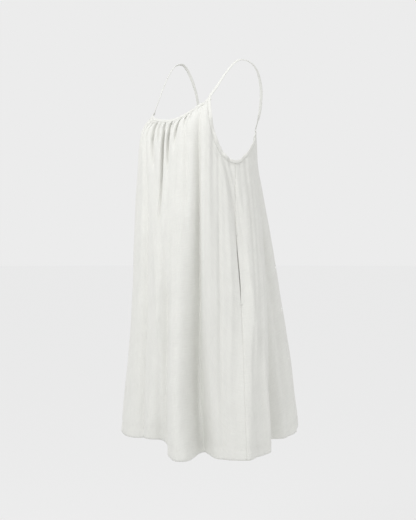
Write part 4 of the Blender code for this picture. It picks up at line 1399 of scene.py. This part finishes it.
@dataclass
class ShoulderStrap:
    """A folded strap, stitched along both edges and sewn behind the bindings."""

    side: str
    turn: float
    route: tuple[StrapPoint, ...]
    width: float = 0.0066
    skin: float = 0.0018
    steps: int = 150
    aside: float = 0.0036
    climb: float = 0.0079
    tail: float = 0.0075
    tuck: float = 0.0016
    settle: float = 0.022
    edge: float = 0.0014

    def end(self, angle: float) -> tuple[Array, Array]:
        """Returns the strap's place, face and width direction above a corner, and in its tail.

        Args:
            angle: cloth angle of the corner.

        Returns:
            Rows of place and face for the tail and for the end, and the width's direction.
        """
        corner = EDGES.corner(angle)
        start = corner.point + corner.past * self.aside
        face = np.cross(corner.past, corner.rise)
        if face @ FORM.normal(np.array(angle), FORM.top_edge(np.array(angle)) - EDGES.under_edge) < 0.0:
            face = -face
        place = start + corner.rise * self.climb
        tail = start + corner.rise * (self.climb - self.tail) - face * self.tuck
        return np.stack((np.concatenate((tail, face)), np.concatenate((place, face)))), corner.past

    def path(self) -> tuple[Array, Array]:
        """Returns the middle line of the strap and unit vectors across it."""
        rows = np.array([
            (self.turn * row.x, row.y, row.z, self.turn * row.face_x, row.face_y, row.face_z)
            for row in self.route
        ])
        front, front_past = self.end(self.turn * FORM.front_strap)
        back, back_past = self.end(self.turn * FORM.back_strap)
        knots = np.concatenate((front, rows, back[::-1]))
        run = lengths_along(knots[:, :3])
        at = np.linspace(0.0, run[-1], self.steps)
        path = np.stack([smooth(run, values, at) for values in knots.T], -1)
        middle, face = path[:, :3], path[:, 3:]
        across = strip_face(middle, face)
        for past, distance in ((front_past, at), (back_past, run[-1] - at)):
            share = 1.0 - eased(distance / self.settle)[:, None]
            signed = past * np.sign((across * past).sum(-1))[:, None]
            across = unit(across * (1.0 - share) + signed * share)
        return middle, across

    def build(self, finishes: Finishes) -> tuple[bpy.types.Object, list[tuple[Array, Array]]]:
        """Builds the strap and returns it with its rows of stitches."""
        middle, across = self.path()
        piece = add_strip(f"shoulder_strap_{self.side}", middle, across, self.width, self.skin,
                          finishes.strap)
        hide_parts(f"strap_{self.side}")
        face = strip_face(middle, across)
        rows = []
        for edge in (-1.0, 1.0):
            line = middle + across * edge * (self.width / 2.0 - self.edge)
            rows += [(line + face * self.skin * sign * STITCH_LEVEL, face * sign) for sign in (-1.0, 1.0)]
        LOG.info("shoulder_strap_%s built", self.side)
        return piece, rows


# ---------------------------------------------------------------- pockets and seams

@dataclass(frozen=True)
class BagRow:
    """The outline of a pocket bag: how much of its reach it has at a share of its drop."""

    drop: float
    reach: float


BAG_OUTLINE = (
    BagRow(0.0, 0.60), BagRow(0.25, 0.86), BagRow(0.5, 1.0), BagRow(0.75, 0.90), BagRow(1.0, 0.50),
)


@dataclass
class SeamPocket:
    """A two-layer bag behind the front panel, open at the side seam.

    Inward distances are from the middle of the front panel. reach, seam_clear, back_past and
    tack_reach are degrees.
    """

    side: str
    turn: float
    bag_top: float = -0.375
    bag_foot: float = -0.640
    reach: float = 31.0
    seam_clear: float = 0.4
    front_inward: float = 0.0026
    back_inward: float = 0.0052
    back_past: float = 1.6
    skin: float = 0.0006
    rows: int = 64
    columns: int = 36
    flat: tuple[float, float] = (0.095, 0.265)
    flat_area: float = 0.0175
    tack_off: float = 0.003
    tack_half: float = 0.0013
    tack_reach: float = 1.45
    tack_rows: int = 9
    tack_out: float = 0.00065

    def layer(self, name: str, inward: float, past_seam: float, finishes: Finishes) -> None:
        """Builds one layer of the bag.

        Args:
            name: front or back.
            inward: distance behind the middle of the front panel.
            past_seam: degrees that it runs on behind the mouth.
            finishes: the dress's finishes.
        """
        drop = np.linspace(0.0, 1.0, self.rows)[:, None]
        z = self.bag_top + (self.bag_foot - self.bag_top) * drop
        reach = self.reach * smooth(column(BAG_OUTLINE, "drop"), column(BAG_OUTLINE, "reach"), drop)
        edge = FORM.side_seam - SEAM_EDGE.stand_back(self.turn * FORM.side_seam, z)
        start = edge - self.seam_clear + past_seam
        angle = self.turn * (start - reach * np.linspace(0.0, 1.0, self.columns)[None, :])
        points = FORM.inside(angle, z, inward)
        piece = add_cloth(f"pocket_{name}_layer_{self.side}", points, self.skin, finishes.pocket)
        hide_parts(f"pocket_{name}_{self.side}")

    def build(self, finishes: Finishes) -> None:
        """Builds both layers."""
        self.layer("front", self.front_inward, 0.0, finishes)
        self.layer("back", self.back_inward, self.back_past, finishes)
        LOG.info("pocket %s built", self.side)

    def tacks(self) -> list[tuple[Array, Array]]:
        """Returns the bar tacks at both ends of the mouth, as short rows of close stitches."""
        angle = self.turn * (FORM.side_seam + np.array([-self.tack_reach, self.tack_reach]))
        rows = []
        for middle in (SEAM_EDGE.mouth_top + self.tack_off, SEAM_EDGE.mouth_foot - self.tack_off):
            for share in np.linspace(-1.0, 1.0, self.tack_rows):
                z = np.full(2, middle + share * self.tack_half)
                rows.append((FORM.point(angle, z, self.tack_out), FORM.normal(angle, z)))
        return rows


@dataclass
class SeamAllowance:
    """The raw edges of a side seam, pressed back inside the dress."""

    side: str
    turn: float
    width: float = 0.012
    lap: float = 0.0025
    inward: float = 0.0019
    skin: float = 0.0010
    columns: int = 8
    row_spacing: float = 0.004
    least_rows: int = 12
    under_edge: float = 0.001
    over_hem: float = 0.024
    mouth_lap: float = 0.002

    def stretch(self, name: str, top: float, foot: float, finishes: Finishes) -> bpy.types.Object:
        """Builds a stretch of the allowance.

        Args:
            name: name of the piece.
            top: height of its upper end.
            foot: height of its lower end.
            finishes: the dress's finishes.

        Returns:
            The new piece.
        """
        z = np.linspace(top, foot, max(self.least_rows, round((top - foot) / self.row_spacing)))
        degrees = np.degrees(np.linspace(-self.lap, self.width, self.columns) / SIDE_RADIUS)
        angle = self.turn * (FORM.side_seam + degrees)
        points = FORM.inside(angle[None, :], z[:, None], self.inward)
        return add_cloth(name, points, self.skin, finishes.panel)

    def build(self, finishes: Finishes) -> list[bpy.types.Object]:
        """Builds the stretches above and below the pocket mouth and returns them."""
        seam = np.array(self.turn * FORM.side_seam)
        edge = float(FORM.top_edge(seam)) - self.under_edge
        foot = float(FORM.hem_height(seam)) + self.over_hem
        above, below = SEAM_EDGE.mouth_top - self.mouth_lap, SEAM_EDGE.mouth_foot + self.mouth_lap
        LOG.info("seam allowance %s built", self.side)
        return [
            self.stretch(f"seam_allowance_top_{self.side}", edge, above, finishes),
            self.stretch(f"seam_allowance_foot_{self.side}", below, foot, finishes),
        ]


# ---------------------------------------------------------------- studio

def grey(tone: float) -> tuple[float, float, float, float]:
    """Returns an opaque grey."""
    return tone, tone, tone, 1.0


@dataclass
class Studio:
    """The camera, a plain pale floor and soft light."""

    distance: float = 2.1
    azimuth: float = 55.0
    height: float = -0.429
    lens: float = 80.3
    sensor: float = 36.0
    shift: tuple[float, float] = (-1.0 / 416.0, -8.0 / 416.0)
    clip: tuple[float, float] = (0.01, 100.0)
    floor_z: float = -1.33
    floor_radius: float = 60.0
    floor_corners: int = 96
    background: float = 0.839
    fill: float = 0.84
    floor_tone: float = 0.25
    floor_glow: float = 0.607
    key_strength: float = 0.20
    key_azimuth: float = 108.0
    key_height: float = 10.0
    key_softness: float = 25.0
    lamp_power: float = 14.0
    lamp_size: float = 0.8
    lamp_place: tuple[float, float, float] = (0.42, -1.40, 0.95)
    lamp_target: tuple[float, float, float] = (0.0, 0.0, -0.30)

    def camera(self) -> None:
        """Adds the camera and makes it the scene's."""
        data = bpy.data.cameras.new("camera")
        data.sensor_fit = "HORIZONTAL"
        data.sensor_width = self.sensor
        data.lens = self.lens
        data.shift_x, data.shift_y = self.shift
        data.clip_start, data.clip_end = self.clip
        eye = bpy.data.objects.new("camera", data)
        turn = math.radians(self.azimuth)
        eye.location = (self.distance * math.sin(turn), -self.distance * math.cos(turn), self.height)
        eye.rotation_euler = (math.pi / 2.0, 0.0, turn)
        bpy.context.scene.collection.objects.link(eye)
        bpy.context.scene.camera = eye

    def floor(self) -> None:
        """Adds the floor."""
        place = (0.0, 0.0, self.floor_z)
        bpy.ops.mesh.primitive_circle_add(vertices=self.floor_corners, radius=self.floor_radius,
                                          fill_type="NGON", location=place)
        floor = bpy.context.object
        floor.name = "studio_floor"
        kit = NodeKit("pale_floor")
        kit.dress({
            "Base Color": grey(self.floor_tone),
            "Roughness": 1.0,
            "Specular IOR Level": 0.0,
            "Emission Color": grey(1.0),
            "Emission Strength": self.floor_glow,
        })
        floor.data.materials.append(kit.material)

    def surroundings(self) -> None:
        """Adds the even light of the studio, behind a backdrop of its own tone."""
        world = bpy.data.worlds.new("studio")
        world.use_nodes = True
        nodes, links = world.node_tree.nodes, world.node_tree.links
        backdrop = nodes["Background"]
        backdrop.inputs["Color"].default_value = grey(self.background)
        fill = nodes.new("ShaderNodeBackground")
        fill.inputs["Color"].default_value = grey(self.fill)
        path, mix = nodes.new("ShaderNodeLightPath"), nodes.new("ShaderNodeMixShader")
        links.new(path.outputs["Is Camera Ray"], mix.inputs[0])
        links.new(fill.outputs[0], mix.inputs[1])
        links.new(backdrop.outputs[0], mix.inputs[2])
        links.new(mix.outputs[0], nodes["World Output"].inputs["Surface"])
        bpy.context.scene.world = world

    def light(self, name: str, kind: str, energy: float, towards: Vector) -> bpy.types.Object:
        """Adds a light.

        Args:
            name: name of the light.
            kind: SUN or AREA.
            energy: its strength.
            towards: direction from what it lights to the light.

        Returns:
            The light, turned but not placed.
        """
        data = bpy.data.lights.new(name, kind)
        data.energy = energy
        light = bpy.data.objects.new(name, data)
        light.rotation_euler = towards.to_track_quat("Z", "Y").to_euler()
        bpy.context.scene.collection.objects.link(light)
        return light

    def lights(self) -> None:
        """Adds a soft key light and a large near lamp that lights the top of the dress more."""
        around, up = math.radians(self.key_azimuth), math.radians(self.key_height)
        away = Vector((math.sin(around) * math.cos(up), -math.cos(around) * math.cos(up), math.sin(up)))
        key = self.light("key", "SUN", self.key_strength, away)
        key.data.angle = math.radians(self.key_softness)
        place = Vector(self.lamp_place)
        lamp = self.light("lamp", "AREA", self.lamp_power, place - Vector(self.lamp_target))
        lamp.location = place
        lamp.data.shape = "DISK"
        lamp.data.size = self.lamp_size

    def build(self) -> None:
        """Builds the studio."""
        self.camera()
        self.floor()
        self.surroundings()
        self.lights()
        bpy.context.scene.view_settings.view_transform = "Standard"
        LOG.info("studio built")


# ---------------------------------------------------------------- the dress

@dataclass
class Sundress:
    """All the pieces of the dress, built in a maker's order."""

    stitch: StitchRow = field(default_factory=StitchRow)
    tack: StitchRow = field(default_factory=lambda: StitchRow(length=0.0062, gap=0.001, thickness=0.00042))
    binding: Binding = field(default_factory=Binding)

    def build(self, finishes: Finishes) -> None:
        """Builds every piece.

        Args:
            finishes: the dress's finishes.
        """
        front = Panel("front", ((-89.0, 0.85), (-57.0, 0.5), (57.0, 0.85), (89.0, 0.85)), rows=148,
                      flat=(0.78, 0.78), flat_area=0.37)
        back = Panel("back", ((89.0, 0.8), (136.0, 0.6), (224.0, 0.8), (271.0, 0.8)), rows=130,
                     flat=(0.86, 0.72), flat_area=0.42)
        front_trim, back_trim = self.bound_edges(finishes)
        on_panel, on_strap = finishes.sewn_on(finishes.panel), finishes.sewn_on(finishes.strap)
        for side, turn, route in (("left", 1.0, LEFT_ROUTE), ("right", -1.0, RIGHT_ROUTE)):
            strap, rows = ShoulderStrap(side, turn, route).build(finishes)
            front_trim += [strap, add_thread(f"strap_stitches_{side}", rows, self.stitch, on_strap)]
            pocket = SeamPocket(side, turn)
            pocket.build(finishes)
            front_trim.append(add_thread(f"bar_tacks_{side}", pocket.tacks(), self.tack, on_panel))
            back_trim += SeamAllowance(side, turn).build(finishes)
        for panel, trim in ((front, front_trim), (back, back_trim)):
            cloth = panel.build(finishes)
            hem = panel.hem_stitches(self.stitch, finishes)

    def bound_edges(self, finishes: Finishes) -> tuple[list[bpy.types.Object], list[bpy.types.Object]]:
        """Builds the bindings and their stitches, and returns those on the front and on the back."""
        front_strap, back_strap = FORM.front_strap, FORM.back_strap
        front, front_row = self.binding.neck("front", -front_strap, front_strap, 41, finishes)
        back, back_row = self.binding.neck("back", back_strap, 360.0 - back_strap, 43, finishes)
        trim, rows = [front], [front_row, back_row]
        for side, turn, seed in (("left", 1.0, 45), ("right", -1.0, 47)):
            strip, row = self.binding.armhole(side, turn, seed, finishes)
            trim.append(strip)
            rows.append(row)
        on_binding = finishes.sewn_on(finishes.binding)
        trim.append(add_thread("binding_stitches", rows, self.stitch, on_binding))
        return trim, [back]


def main() -> None:
    """Builds the studio and the dress in order."""
    logging.basicConfig(level=logging.INFO, format="%(message)s")
    Studio().build()
    Sundress().build(Finishes.make())


if __name__ == "__main__":
    main()
